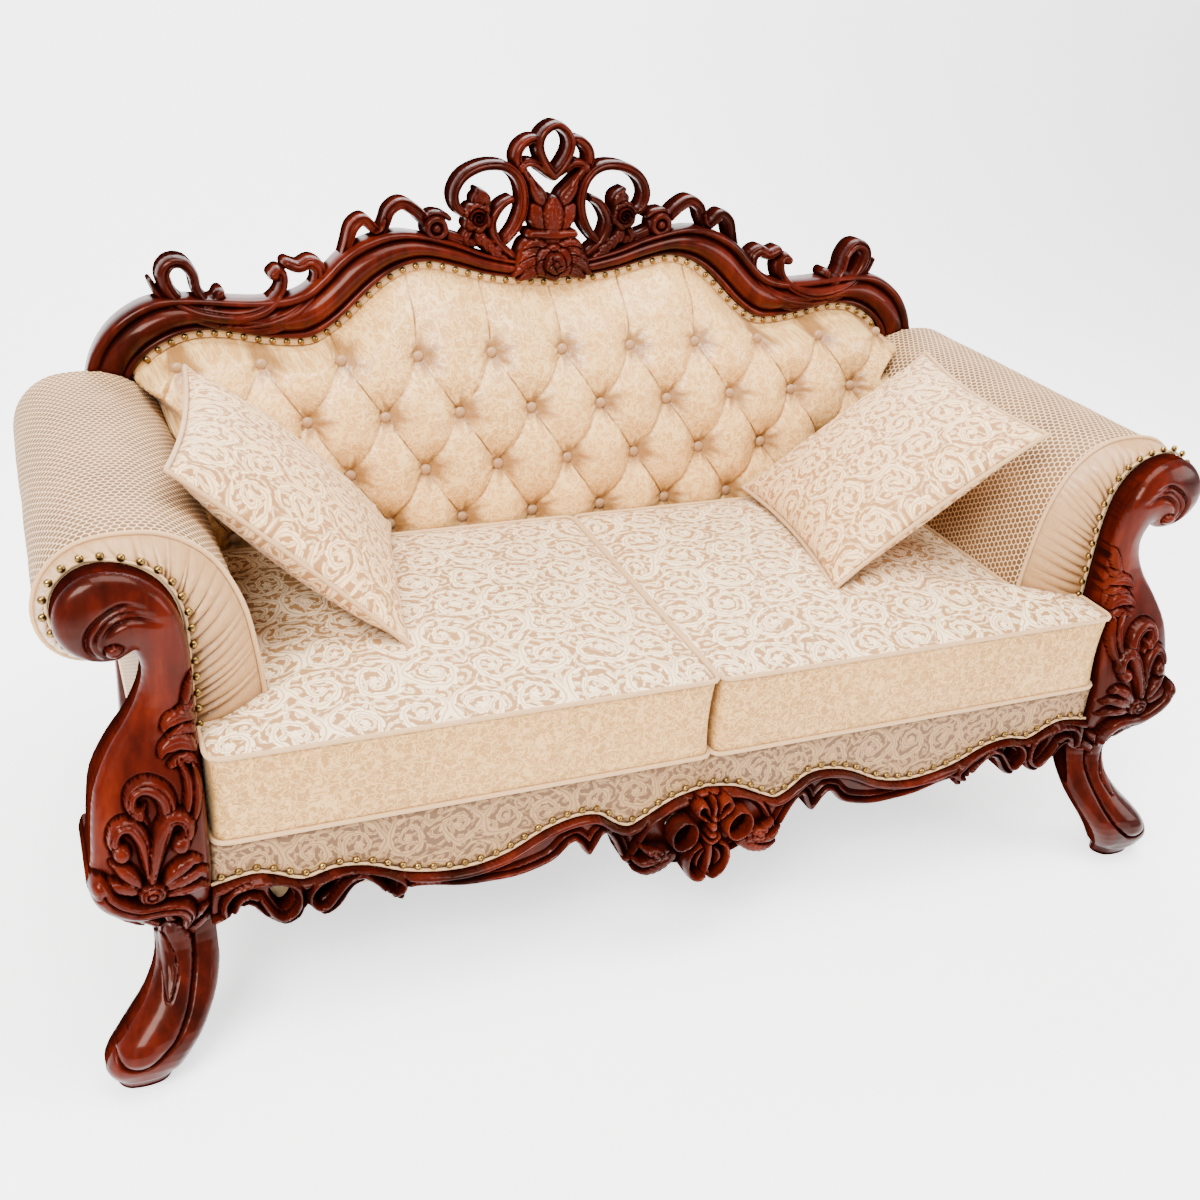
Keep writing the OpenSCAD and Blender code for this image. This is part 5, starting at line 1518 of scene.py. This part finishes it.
def arm_cushion(hand, side):
    """Padded arm: the roll in net cloth from the seat over the top and under its outside."""
    line = spread(arm_line, 84)
    closing = np.array([[748, 573], [748, 500], [748, 400], [748, 300.6], [680, 300.6]])
    ring = np.concatenate([line, closing])
    run = np.concatenate([lengths(line), lengths(line)[-1] + 20 + lengths(closing)])
    n = len(ring)
    stations = 64
    centre = np.array([735.0, 560.0])
    rows, uvs = [], []
    rear = CREST_FACE - 0.6 + (ring[:, 1] - LEAN_AXIS_Z) * math.sin(LEAN)
    for k in range(stations):
        t = k / (stations - 1)
        y = ARM_FRONT + (rear - ARM_FRONT) * t
        turn_in = 5.0 * max(0, 1 - t * stations / 3.0) ** 2
        p = ring + towards(centre, ring) * turn_in
        rows.append(upright(p[:, 0], y, p[:, 1]))
        uvs.append(np.stack([run, y], 1) * MM)
    points = np.concatenate(rows)
    soft = lumps(points, 110, 1.6, 3.0 + hand) + lumps(points, 30, 0.4, 5.0)
    points[:, [0, 2]] += towards(centre, points[:, [0, 2]]) * (soft + 1.2)[:, None]
    points[:, 0] *= hand
    faces = loft_faces(stations, n, turned=hand > 0)
    piece = solid("arm_cushioning_" + side, points, faces, NET, uv=np.concatenate(uvs), soft_edge=50)
    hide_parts("arm_pad_" + side)


def arm_front(hand, side):
    """Satin band gathered in pleats from the piping at the arm's edge to the wood."""
    count = 47
    per = 12
    n = count * per
    inner = spread(ruche_inner, n)
    outer = spread(ruche_outer, n)
    widths = rng.uniform(0.6, 1.5, count)
    marks = np.concatenate([[0], np.cumsum(widths)]) / widths.sum() * n
    drift = rng.uniform(-0.45, 0.45, count + 1)
    deep = rng.uniform(0.55, 1.35, count)
    s = np.array([0, 0.04, 0.1, 0.18, 0.27, 0.37, 0.47, 0.57, 0.67, 0.76, 0.84, 0.91, 0.96, 1.0])
    step = np.linalg.norm(inner - outer, axis=1)
    rows, dark = [], []
    for v in s:
        at = np.sort(marks + np.concatenate([[0], drift[1:-1], [0]]) * per * 1.2 * (1 - v))
        k = (np.searchsorted(at, np.arange(n + 1), side="right") - 1).clip(0, count - 1)
        phase = (np.arange(n + 1) - at[k]) / np.maximum(at[k + 1] - at[k], 1e-6)
        fold = np.abs(2 * phase - 1) ** 1.8
        q = outer + (inner - outer) * v
        y = ARM_FRONT - 42.5 * (1 - (1 - v) ** 2.4)
        bend = math.sin(math.pi * min(1, v * 1.02 + 0.02)) ** 0.8
        amount = (0.5 + 5.4 * v ** 0.8) * (0.3 if v > 0.95 else 1)
        y = y + fold * deep[k] * amount - 2.5 * bend
        rows.append(upright(q[:, 0], np.maximum(y, POST_BACK - 2.5), q[:, 1]))
        # Painted shade in the valleys between the gathers, stronger in deeper ones, and towards the nailed
        # inner edge.
        seen = min(1.0, 0.2 + v) * (v < 0.97)
        dark.append(1.3 * fold ** 2 * np.clip(deep[k], 0, 1) * seen + 0.3 * v ** 3)
    dark.append(np.zeros(n + 1))
    rows.append(stood_at(inner, ARM_FRONT))
    m = len(rows)
    points = np.stack(rows, 1).reshape(-1, 3)
    run = lengths(outer)
    reach = np.array(list(s) + [1.3])
    uv = np.stack([np.repeat(run, m), np.tile(reach, n + 1) * np.repeat(step, m)], 1) * MM
    points[:, 0] *= hand
    faces = loft_faces(n + 1, m, turned=hand < 0)
    piece = solid("pleated_band_" + side, points, faces, RUCHE_SATIN, uv=uv,
                  marks={"painted_shade": np.stack(dark, 1).ravel()})
    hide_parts("arm_ruche_" + side)

    edge = arm_line[1:]
    edge = spread(shifted(edge, 1.2), 150)
    piping = cord("arm_piping_cord_" + side, stood_at(edge, ARM_FRONT - 1.0, hand), 3.4, WELT)
    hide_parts("arm_piping_" + side)
    seam = spread(shifted(ruche_inner[2:], 2.2), 220)
    cord("band_edge_cord_" + side, stood_at(seam, POST_BACK - 1.2, hand), EDGE_CORD_R, WELT, sides=6)
    line = shifted(ruche_inner, NAIL_R + 1.8)
    far = np.min(np.linalg.norm(line[:, None] - post_outer[None], axis=2), axis=1)
    line = line[(line[:, 1] > DECK_H + NAIL_R + 3) & (far > NAIL_R + 3)]
    nails = nail_row("arm_front_nails_" + side, stood_at(nail_places(line), POST_BACK - 2.2, hand))
    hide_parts("arm_nails_" + side)


def arm_panel(hand, side):
    """Cloth panel down the outside of an arm."""
    c = Carving(*sorted((hand * -262.0, hand * 344.0)), 262, 571, 8.0)
    y0, y1 = -262.0, 343.0
    c.board([(hand * y0, 262), (hand * y1, 262), (hand * (y1 + 2), 571), (hand * y0, 571)])

    def beside(u, y, w):
        return np.stack([-y, u, w], -1) if hand > 0 else np.stack([y, -u, w], -1)

    soft = 1.0 * np.clip(c.inside / 30, 0, 1)
    piece = c.mesh("arm_outside_panel_" + side, NET, -751.3 - soft, -748.4, beside, edge=1.5, rear_edge=0.5)
    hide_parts("arm_outside_" + side)


def deck():
    """Canvas platform under the loose cushions, with a sewn line behind its front lip."""
    def lying(x, y, z):
        return np.stack([x, z, -y], -1)

    rear = CREST_FACE + (RAIL_TOP - LEAN_AXIS_Z) * math.sin(LEAN) - 0.3
    c = Carving(-700, 700, -346, 340, 13.0)
    c.board([(-699.7, -345), (699.7, -345), (699.7, -293.3), (603.7, -293.3), (603.7, rear), (-603.7, rear),
             (-603.7, -293.3), (-699.7, -293.3)])
    hollow = 2.5 * np.clip(c.inside / 120, 0, 1)
    c.dent([(-600, -235), (600, -235)], 7, 2.0)
    piece = c.mesh("deck_platform", CANVAS, -324.9 + hollow, -286.8, lying, edge=4.0, rear_edge=1.0)
    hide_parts("seat_deck")


def rear_panel():
    """Cloth over the plywood behind the back, edged with a welt."""
    edge = shifted(crest_in, 16)
    outline = np.concatenate([[(711, 208)], edge[::-1], mirrored(edge)[1:], [(-711, 208)]])
    c = Carving(-716, 716, 206, 880, 11.0)
    c.board(outline)
    soft = 0.4 + 2.2 * np.clip(c.inside / 60, 0, 1)
    piece = c.mesh("rear_cloth", REAR_DAMASK, 51.2, 53.2 + soft, leant, edge=0.5, rear_edge=1.2)
    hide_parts("outside_back")
    ring = spread(np.concatenate([shifted(edge, -4)[::-1], mirrored(shifted(edge, -4))[1:]]), 400)
    ring = np.concatenate([[(707, 212)], ring, [(-707, 212)]])
    ring = spread_round(ring, 700)
    cord("rear_welt", leant_at(ring, 54.0), 2.6, WELT, closed=True, sides=6)


def back_leg(hand, side):
    """Raked back leg with eased edges."""
    def at(y, v):
        return list(leant(0.0, y, v)[1:])

    kick, leg_y = CREST_FACE + 95, at(0, RAIL_TOP)[0]
    rear = np.array([at(CREST_T, 180), at(CREST_T, 145), [kick - 34, 95], [kick - 10, 38], [kick, 0]])
    rear[0, 0] += 1
    rear[1, 0] += 6
    front = np.array([[kick - 53, 38], [kick - 80, 95], [leg_y + 5, 155], [leg_y, 192]])
    top = [at(0, JOINT_H), at(CREST_T, JOINT_H), at(CREST_T, 202)]
    outline = np.concatenate([top, smooth(rear), [[kick - 45, 0]], smooth(front),
                              [[leg_y, RAIL_TOP], at(0, 300)]])
    n = len(outline)
    points = [(hand * x, p[0], p[1]) for x in (BACK_LEG_IN, BACK_LEG_OUT) for p in outline]
    faces = [tuple(range(n)), tuple(range(n, 2 * n))[::-1]]
    faces += [(i, n + i, n + (i + 1) % n, (i + 1) % n) for i in range(n)]
    piece = solid("back_leg_shaped_" + side, points, faces, MAHOGANY)
    recalculate(piece)
    mod = piece.modifiers.new("eased", "BEVEL")
    mod.width = 0.007
    mod.segments = 3
    mod.angle_limit = math.radians(50)
    apply_modifiers(piece)
    piece.data.set_sharp_from_angle(angle=math.radians(40))
    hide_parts("back_leg_" + side)


def cushion_side(t):
    """Half-width of a seat cushion at a distance behind its front: wide ears, then the seat."""
    return np.interp(t, [0, 75, 86, 117, CUSHION_D], [695, 695, 648, 598.5, 601])


def swell(s):
    return np.maximum(0, 1 - np.abs(2 * s - 1) ** 3.2) ** 0.8


def puffed(piece, steps, cap, pressure, pinned):
    """Fills a closed cloth with air and lets it settle, each point moving no further than cap."""
    before = np.array([v.co for v in piece.data.vertices])
    group = piece.vertex_groups.new(name="held")
    group.add([int(k) for k in pinned], 1.0, "REPLACE")
    mod = piece.modifiers.new("cloth", "CLOTH")
    cloth = mod.settings
    cloth.quality = 5
    cloth.mass = 0.3
    cloth.use_pressure = True
    cloth.uniform_pressure_force = pressure
    cloth.vertex_group_mass = "held"
    cloth.tension_stiffness = cloth.compression_stiffness = 12.0
    cloth.shear_stiffness = 5.0
    cloth.bending_stiffness = 0.6
    cloth.effector_weights.gravity = 0.0
    mod.collision_settings.use_collision = False
    mod.point_cache.frame_start = 1
    mod.point_cache.frame_end = steps
    scene = bpy.context.scene
    for step in range(1, steps + 1):
        scene.frame_set(step)
    apply_modifiers(piece)
    scene.frame_set(1)
    piece.vertex_groups.clear()
    after = np.array([v.co for v in piece.data.vertices])
    away = after - before
    far = np.linalg.norm(away, axis=1, keepdims=True)
    after = before + away * np.minimum(1, cap / np.maximum(far, 1e-9))
    piece.data.vertices.foreach_set("co", after.ravel())
    piece.data.update()


def smoothed_once(piece):
    mod = piece.modifiers.new("round", "SUBSURF")
    mod.levels = mod.render_levels = 1
    mod.uv_smooth = "PRESERVE_BOUNDARIES"
    apply_modifiers(piece)
    piece.data.shade_smooth()


def cushion_plan():
    """The outline of a seat cushion in plan, round from the middle of the front."""
    line = np.array([(3, 0), (695, 0), (695, 75), (690, 80), (652, 84), (646, 90), (600, 115),
                     (598.5, 120), (601, CUSHION_D), (3, CUSHION_D)], float)
    radii = (14, 20, 14, 6, 4, 6, 8, 6, 26, 14)
    corners = []
    m = len(line)
    for k in range(m):
        a, p, b = line[k - 1], line[k], line[(k + 1) % m]
        u, v = a - p, b - p
        lu, lv = np.linalg.norm(u), np.linalg.norm(v)
        cut = min(radii[k], lu * 0.45, lv * 0.45)
        for t in np.linspace(0, 1, 6):
            s0, s1 = p + u / lu * cut, p + v / lv * cut
            corners.append((1 - t) ** 2 * s0 + 2 * t * (1 - t) * p + t * t * s1)
    return spread_round(np.array(corners), 320)


def seat_cushion(hand, side):
    """Loose T-shaped cushion: crowned top, boxing drawn in between two welted seams."""
    body = "seat_cushion_" + side
    ring = cushion_plan()
    n = len(ring)
    middle = np.array([335.0, 285.0])
    d = np.roll(ring, -1, 0) - np.roll(ring, 1, 0)
    outward = np.stack([d[:, 1], -d[:, 0]], 1)
    outward /= np.linalg.norm(outward, axis=1, keepdims=True)

    def crown(p):
        across = np.clip(p[:, 0] / cushion_side(p[:, 1]), 0, 1)
        return CUSHION_CROWN * swell(across) * swell(np.clip(p[:, 1] / CUSHION_D, 0, 1))

    # The top face: rings from the seam to the middle, with fewer points the smaller they are
    levels = ((1.0, 1), (0.985, 1), (0.96, 1), (0.925, 1), (0.88, 1), (0.82, 1), (0.75, 2), (0.67, 2),
              (0.59, 2), (0.50, 4), (0.41, 4), (0.32, 8), (0.23, 8), (0.14, 16), (0.07, 16))
    run = lengths(np.concatenate([ring, ring[:1]]))[:-1]
    rows, flat, firsts, top_faces, count = [], [], [], [], 0
    for q, skip in levels:
        p = middle + (ring[::skip] - middle) * q
        rows.append(upright(p[:, 0], p[:, 1], SEAM_HIGH + crown(p) * (q < 1)))
        flat += [q] * len(p)
        firsts.append((count, len(p)))
        count += len(p)
    for (a, na), (b, nb) in zip(firsts[:-1], firsts[1:]):
        for k in range(nb):
            outer = [a + (k * na // nb + i) % na for i in range(na // nb + 1)]
            top_faces.append(tuple(outer + [b + (k + 1) % nb, b + k]))
    a, na = firsts[-1]
    top_faces += [(a + k, a + (k + 1) % na, count) for k in range(na)]
    top = np.concatenate(rows + [[[middle[0], middle[1], SEAM_HIGH + CUSHION_CROWN]]])
    # The underside
    low = top.copy()
    flat = np.array(flat + [0.0])
    low[:, 2] = SEAM_LOW - 2.0 * np.clip((1 - flat) / 0.05, 0, 1)
    # The boxing, in rings between the two seams
    parts = 9
    side_rows = []
    for k in range(1, parts):
        s = k / parts
        z = SEAM_HIGH + (SEAM_LOW - SEAM_HIGH) * s
        p = ring - outward * 3.2 * math.sin(math.pi * s) ** 0.8
        side_rows.append(upright(p[:, 0], p[:, 1], np.full(n, z)))
    points = np.concatenate([top] + side_rows + [low])
    count_top = len(top)
    base = count_top + (parts - 1) * n
    rings = [0] + [count_top + k * n for k in range(parts - 1)] + [base]
    faces = top_faces[:]
    wall_start = len(faces)
    for a, b in zip(rings[:-1], rings[1:]):
        faces += [(a + k, b + k, b + (k + 1) % n, a + (k + 1) % n) for k in range(n)]
    wall_end = len(faces)
    faces += [tuple(v + base for v in f)[::-1] for f in top_faces]
    uv = points[:, :2] * MM
    soft = lumps(points, 130, 3.2, 2.0 + hand) + lumps(points, 48, 1.0, 6.0)
    near_top = np.clip((points[:, 2] - SEAM_HIGH) / 6, 0, 1)
    points[:, 2] += soft * near_top
    points[:, 1] += CUSHION_FRONT
    points[:, 0] *= hand
    if hand < 0:
        faces = [f[::-1] for f in faces]
    piece = solid("loose_cushion_" + side, points, faces, DAMASK, body, uv=uv)
    piece.data.materials.append(BOXING)
    for k in range(wall_start, wall_end):
        piece.data.polygons[k].material_index = 1
    wall_uv(piece, ring, run, hand)
    seams = list(range(n)) + list(range(base, base + n))
    rest = [k for k in range(len(points)) if points[k][2] < SEAM_LOW + 0.5]
    puffed(piece, 14, 0.010, 2.4, set(seams) | set(rest))
    smoothed_once(piece)
    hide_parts(body)
    seam = ring + outward * 1.2
    for level, tag in ((SEAM_HIGH + 0.6, "upper"), (SEAM_LOW + 1.6, "lower")):
        path = upright(seam[:, 0] * hand, seam[:, 1] + CUSHION_FRONT, np.full(n, level))
        cord("cushion_welt_" + tag + "_" + side, path, 3.4, WELT, body, closed=True)


def wall_uv(piece, ring, run, hand):
    """Gives the boxing a map that runs round the cushion."""
    data = piece.data
    layer = data.uv_layers[0].data
    total = run[-1] + np.linalg.norm(ring[0] - ring[-1])
    for poly in data.polygons:
        if poly.material_index != 1:
            continue
        spots = []
        for k in poly.loop_indices:
            co = data.vertices[data.loops[k].vertex_index].co
            p = np.array([co.x * hand, co.y]) * 1000 - [0, CUSHION_FRONT]
            spots.append(run[int(np.argmin(np.sum((ring - p) ** 2, axis=1)))])
        if max(spots) - min(spots) > total / 2:
            spots = [s + total if s < total / 2 else s for s in spots]
        for s, k in zip(spots, poly.loop_indices):
            co = data.vertices[data.loops[k].vertex_index].co
            layer[k].uv = (s * MM, co.z)


def pillow(hand, side, centre, lean, turn):
    """Square throw pillow, full in the middle, its sides drawn in between the corners."""
    body = "pillow_" + side
    steps = 56
    g = np.linspace(-1, 1, steps + 1)
    U, V = np.meshgrid(g, g)
    X = PILLOW_HALF * U * (1 - 0.07 * (1 - V * V) * np.abs(U))
    Z = PILLOW_HALF * V * (1 - 0.07 * (1 - U * U) * np.abs(V))
    H = PILLOW_CROWN * ((1 - np.abs(U) ** 2.4) * (1 - np.abs(V) ** 2.4)) ** 0.55
    front = upright(X, -H, Z).reshape(-1, 3)
    rear = upright(X, H, Z).reshape(-1, 3)
    edge = np.minimum(1 - np.abs(U), 1 - np.abs(V)).ravel()
    # Small gathers run in from the seam, strongest near the corners
    gather = np.exp(-edge / 0.10) * np.sin(np.where(np.abs(U) > np.abs(V), V, U).ravel() * 46 + 2 * hand)
    corner = (np.abs(U) * np.abs(V)).ravel() ** 2
    pull = 2.2 * gather * (0.25 + corner) * np.clip(edge / 0.03, 0, 1)
    soft = lumps(front, 85, 4.0, 11.0 + hand) * np.clip(edge / 0.25, 0, 1)
    front[:, 1] -= pull + soft
    rear[:, 1] += pull + soft
    inner = edge > 1e-9
    index = np.full(len(rear), -1)
    index[inner] = np.arange(inner.sum()) + len(front)
    index[~inner] = np.nonzero(~inner)[0]
    points = np.concatenate([front, rear[inner]])
    quads = grid_faces(steps + 1, steps + 1)
    faces = quads + [tuple(int(index[v]) for v in q)[::-1] for q in quads]
    uv = np.stack([X.ravel(), Z.ravel()], 1)
    uv = np.concatenate([uv, uv[inner]]) * MM
    place = (Matrix.Translation(Vector(centre)) @ Matrix.Rotation(math.radians(turn), 4, "Z")
             @ Matrix.Rotation(math.radians(lean), 4, "Y") @ Matrix.Rotation(math.radians(90), 4, "Z")
             @ Matrix.Rotation(math.radians(-90), 4, "X"))

    def put(p):
        return np.array([place @ Vector(q) for q in p])

    piece = solid("throw_pillow_" + side, put(points), faces, PILLOW_DAMASK, body, uv=uv)
    held = np.nonzero(~inner)[0]
    puffed(piece, 12, 0.008, 1.6, held)
    smoothed_once(piece)
    recalculate(piece)
    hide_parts(body)
    rim = ([(k, 0) for k in range(steps)] + [(steps, k) for k in range(steps)]
           + [(k, steps) for k in range(steps, 0, -1)] + [(0, k) for k in range(steps, 0, -1)])
    path = np.array([front[j * (steps + 1) + i] for i, j in rim])
    path[:, 1] = 0
    ring = spread_round(put(path * 1.004), 300)
    cord("pillow_welt_" + side, ring, 3.6, WELT, body, closed=True)


def recalculate(piece):
    mesh = bmesh.new()
    mesh.from_mesh(piece.data)
    bmesh.ops.recalc_face_normals(mesh, faces=mesh.faces)
    mesh.to_mesh(piece.data)
    mesh.free()


NODE_FINISHES = (
    (BEECH, ("front_rail", "back_rail", "side_rail", "centre_stretcher", "corner_blocks", "arm_frame")),
    (PLY, ("back_board",)), (STEEL, ("corner_screws", "seat_springs", "spring_clips")),
    (FOAM, ("seat_core", "pillow_insert")), (BLACK_CLOTH, ("dust_cover",)), (BRASS, ("nails",)),
    (DAMASK, ("seat_cushion",)), (PILLOW_DAMASK, ("pillow_left", "pillow_right")),
    (NET, ("arm_pad", "arm_outside")), (RUCHE_SATIN, ("ruche",)), (WELT, ("piping", "gimp")),
    (SATIN, ("back_pad",)), (BUTTON_CLOTH, ("back_buttons",)), (SHADED_BORDER_DAMASK, ("border",)),
    (CANVAS, ("deck",)), (REAR_DAMASK, ("outside_back",)))


def finish_cad_nodes():
    """Gives every CAD node its finish; those that a piece replaces are hidden but finished too."""
    for name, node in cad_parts.items():
        fitting = [finish for finish, keys in NODE_FINISHES if any(key in name for key in keys)]
        material = fitting[0] if fitting else MAHOGANY
        if not node.material_slots:
            node.data.materials.append(material)
        for slot in node.material_slots:
            slot.material = material


def studio():
    """Pale seamless floor that curves up into the wall, and soft boxes."""
    world = bpy.data.worlds.new("studio")
    bpy.context.scene.world = world
    world.use_nodes = True
    air = world.node_tree.nodes["Background"].inputs
    air["Color"].default_value = (0.95, 0.96, 0.98, 1)
    air["Strength"].default_value = 0.5
    f = Finish("studio_floor", (0.95, 0.95, 0.95), 0.7, Emission_Color=(1.0, 1.0, 1.0, 1.0),
               Emission_Strength=1.2)
    dust = f.noise(f.place(), 2.0, 2)
    f.roughness(f.spread_to(dust, 0.3, 0.7, 0.55, 0.68))
    sweep = [(-4.5, 0), (2.2, 0)]
    sweep += [(2.2 + 1.6 * math.sin(a), 1.6 - 1.6 * math.cos(a)) for a in np.linspace(0.1, math.pi / 2, 12)]
    sweep += [(3.8, 5.5)]
    mesh = bpy.data.meshes.new("studio_sweep")
    points = [(x, y, z) for y, z in sweep for x in (-7.0, 7.0)]
    mesh.from_pydata(points, [], [(2 * k, 2 * k + 1, 2 * k + 3, 2 * k + 2) for k in range(len(sweep) - 1)])
    mesh.shade_smooth()
    mesh.materials.append(f.material)
    floor = placed("studio_sweep", mesh)
    for name, at, aim, size, power in (
            ("key_softbox", (-2.6, -2.6, 3.4), (0, 0, 0.4), (2.2, 1.8), 520),
            ("fill_softbox", (3.4, -2.2, 2.0), (0, 0, 0.5), (2.0, 2.0), 150),
            ("top_softbox", (0.2, -0.6, 4.2), (0, 0.1, 0.4), (3.2, 2.2), 370),
            ("rear_softbox", (0.6, 2.6, 3.2), (0, 0.2, 0.8), (2.6, 1.4), 115)):
        light = bpy.data.lights.new(name, "AREA")
        light.shape = "RECTANGLE"
        light.size, light.size_y = size
        light.energy = power
        lamp = placed(name, light)
        lamp.location = at
        lamp.rotation_euler = (Vector(aim) - Vector(at)).to_track_quat("-Z", "Y").to_euler()


CAMERA_AT = (-0.856, -1.791, 1.418)
CAMERA_LENS = 41.2
CAMERA_TURN = (0.4358, 0.4792, -0.0838)


def photo_camera():
    """The camera that the photo was taken with, as matched to the CAD."""
    yaw, pitch, roll = CAMERA_TURN
    forward = Vector((math.sin(yaw) * math.cos(pitch), math.cos(yaw) * math.cos(pitch), -math.sin(pitch)))
    level = Vector((math.cos(yaw), -math.sin(yaw), 0))
    below = forward.cross(level)
    right = level * math.cos(roll) + below * math.sin(roll)
    down = -level * math.sin(roll) + below * math.cos(roll)
    data = bpy.data.cameras.new("photo_camera")
    data.sensor_width = 36.0
    data.lens = CAMERA_LENS
    data.clip_start = 0.05
    camera = placed("photo_camera", data)
    place = Matrix((right, -down, -forward)).transposed().to_4x4()
    place.translation = CAMERA_AT
    camera.matrix_world = place
    bpy.context.scene.camera = camera


photo_camera()
studio()
finish_cad_nodes()
crest_moulding()
carve_cartouche()
for hand, side in ((-1, "left"), (1, "right")):
    carve_scroll(hand, side)
    carve_ribbon(hand, side)
    carve_leaf(hand, side)
    carve_post(hand, side)
    back_leg(hand, side)
    arm_cushion(hand, side)
    arm_front(hand, side)
    arm_panel(hand, side)
    seat_cushion(hand, side)
carve_apron()
carve_apron_cartouche()
apron_trim()
back_pad()
crest_trim()
deck()
rear_panel()
pillow(-1, "left", (-508, 22, 605.9), 41, -11)
pillow(1, "right", (462, -29, 599.4), -38, -7.5)

for piece, body in pieces.values():
    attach(piece, body)
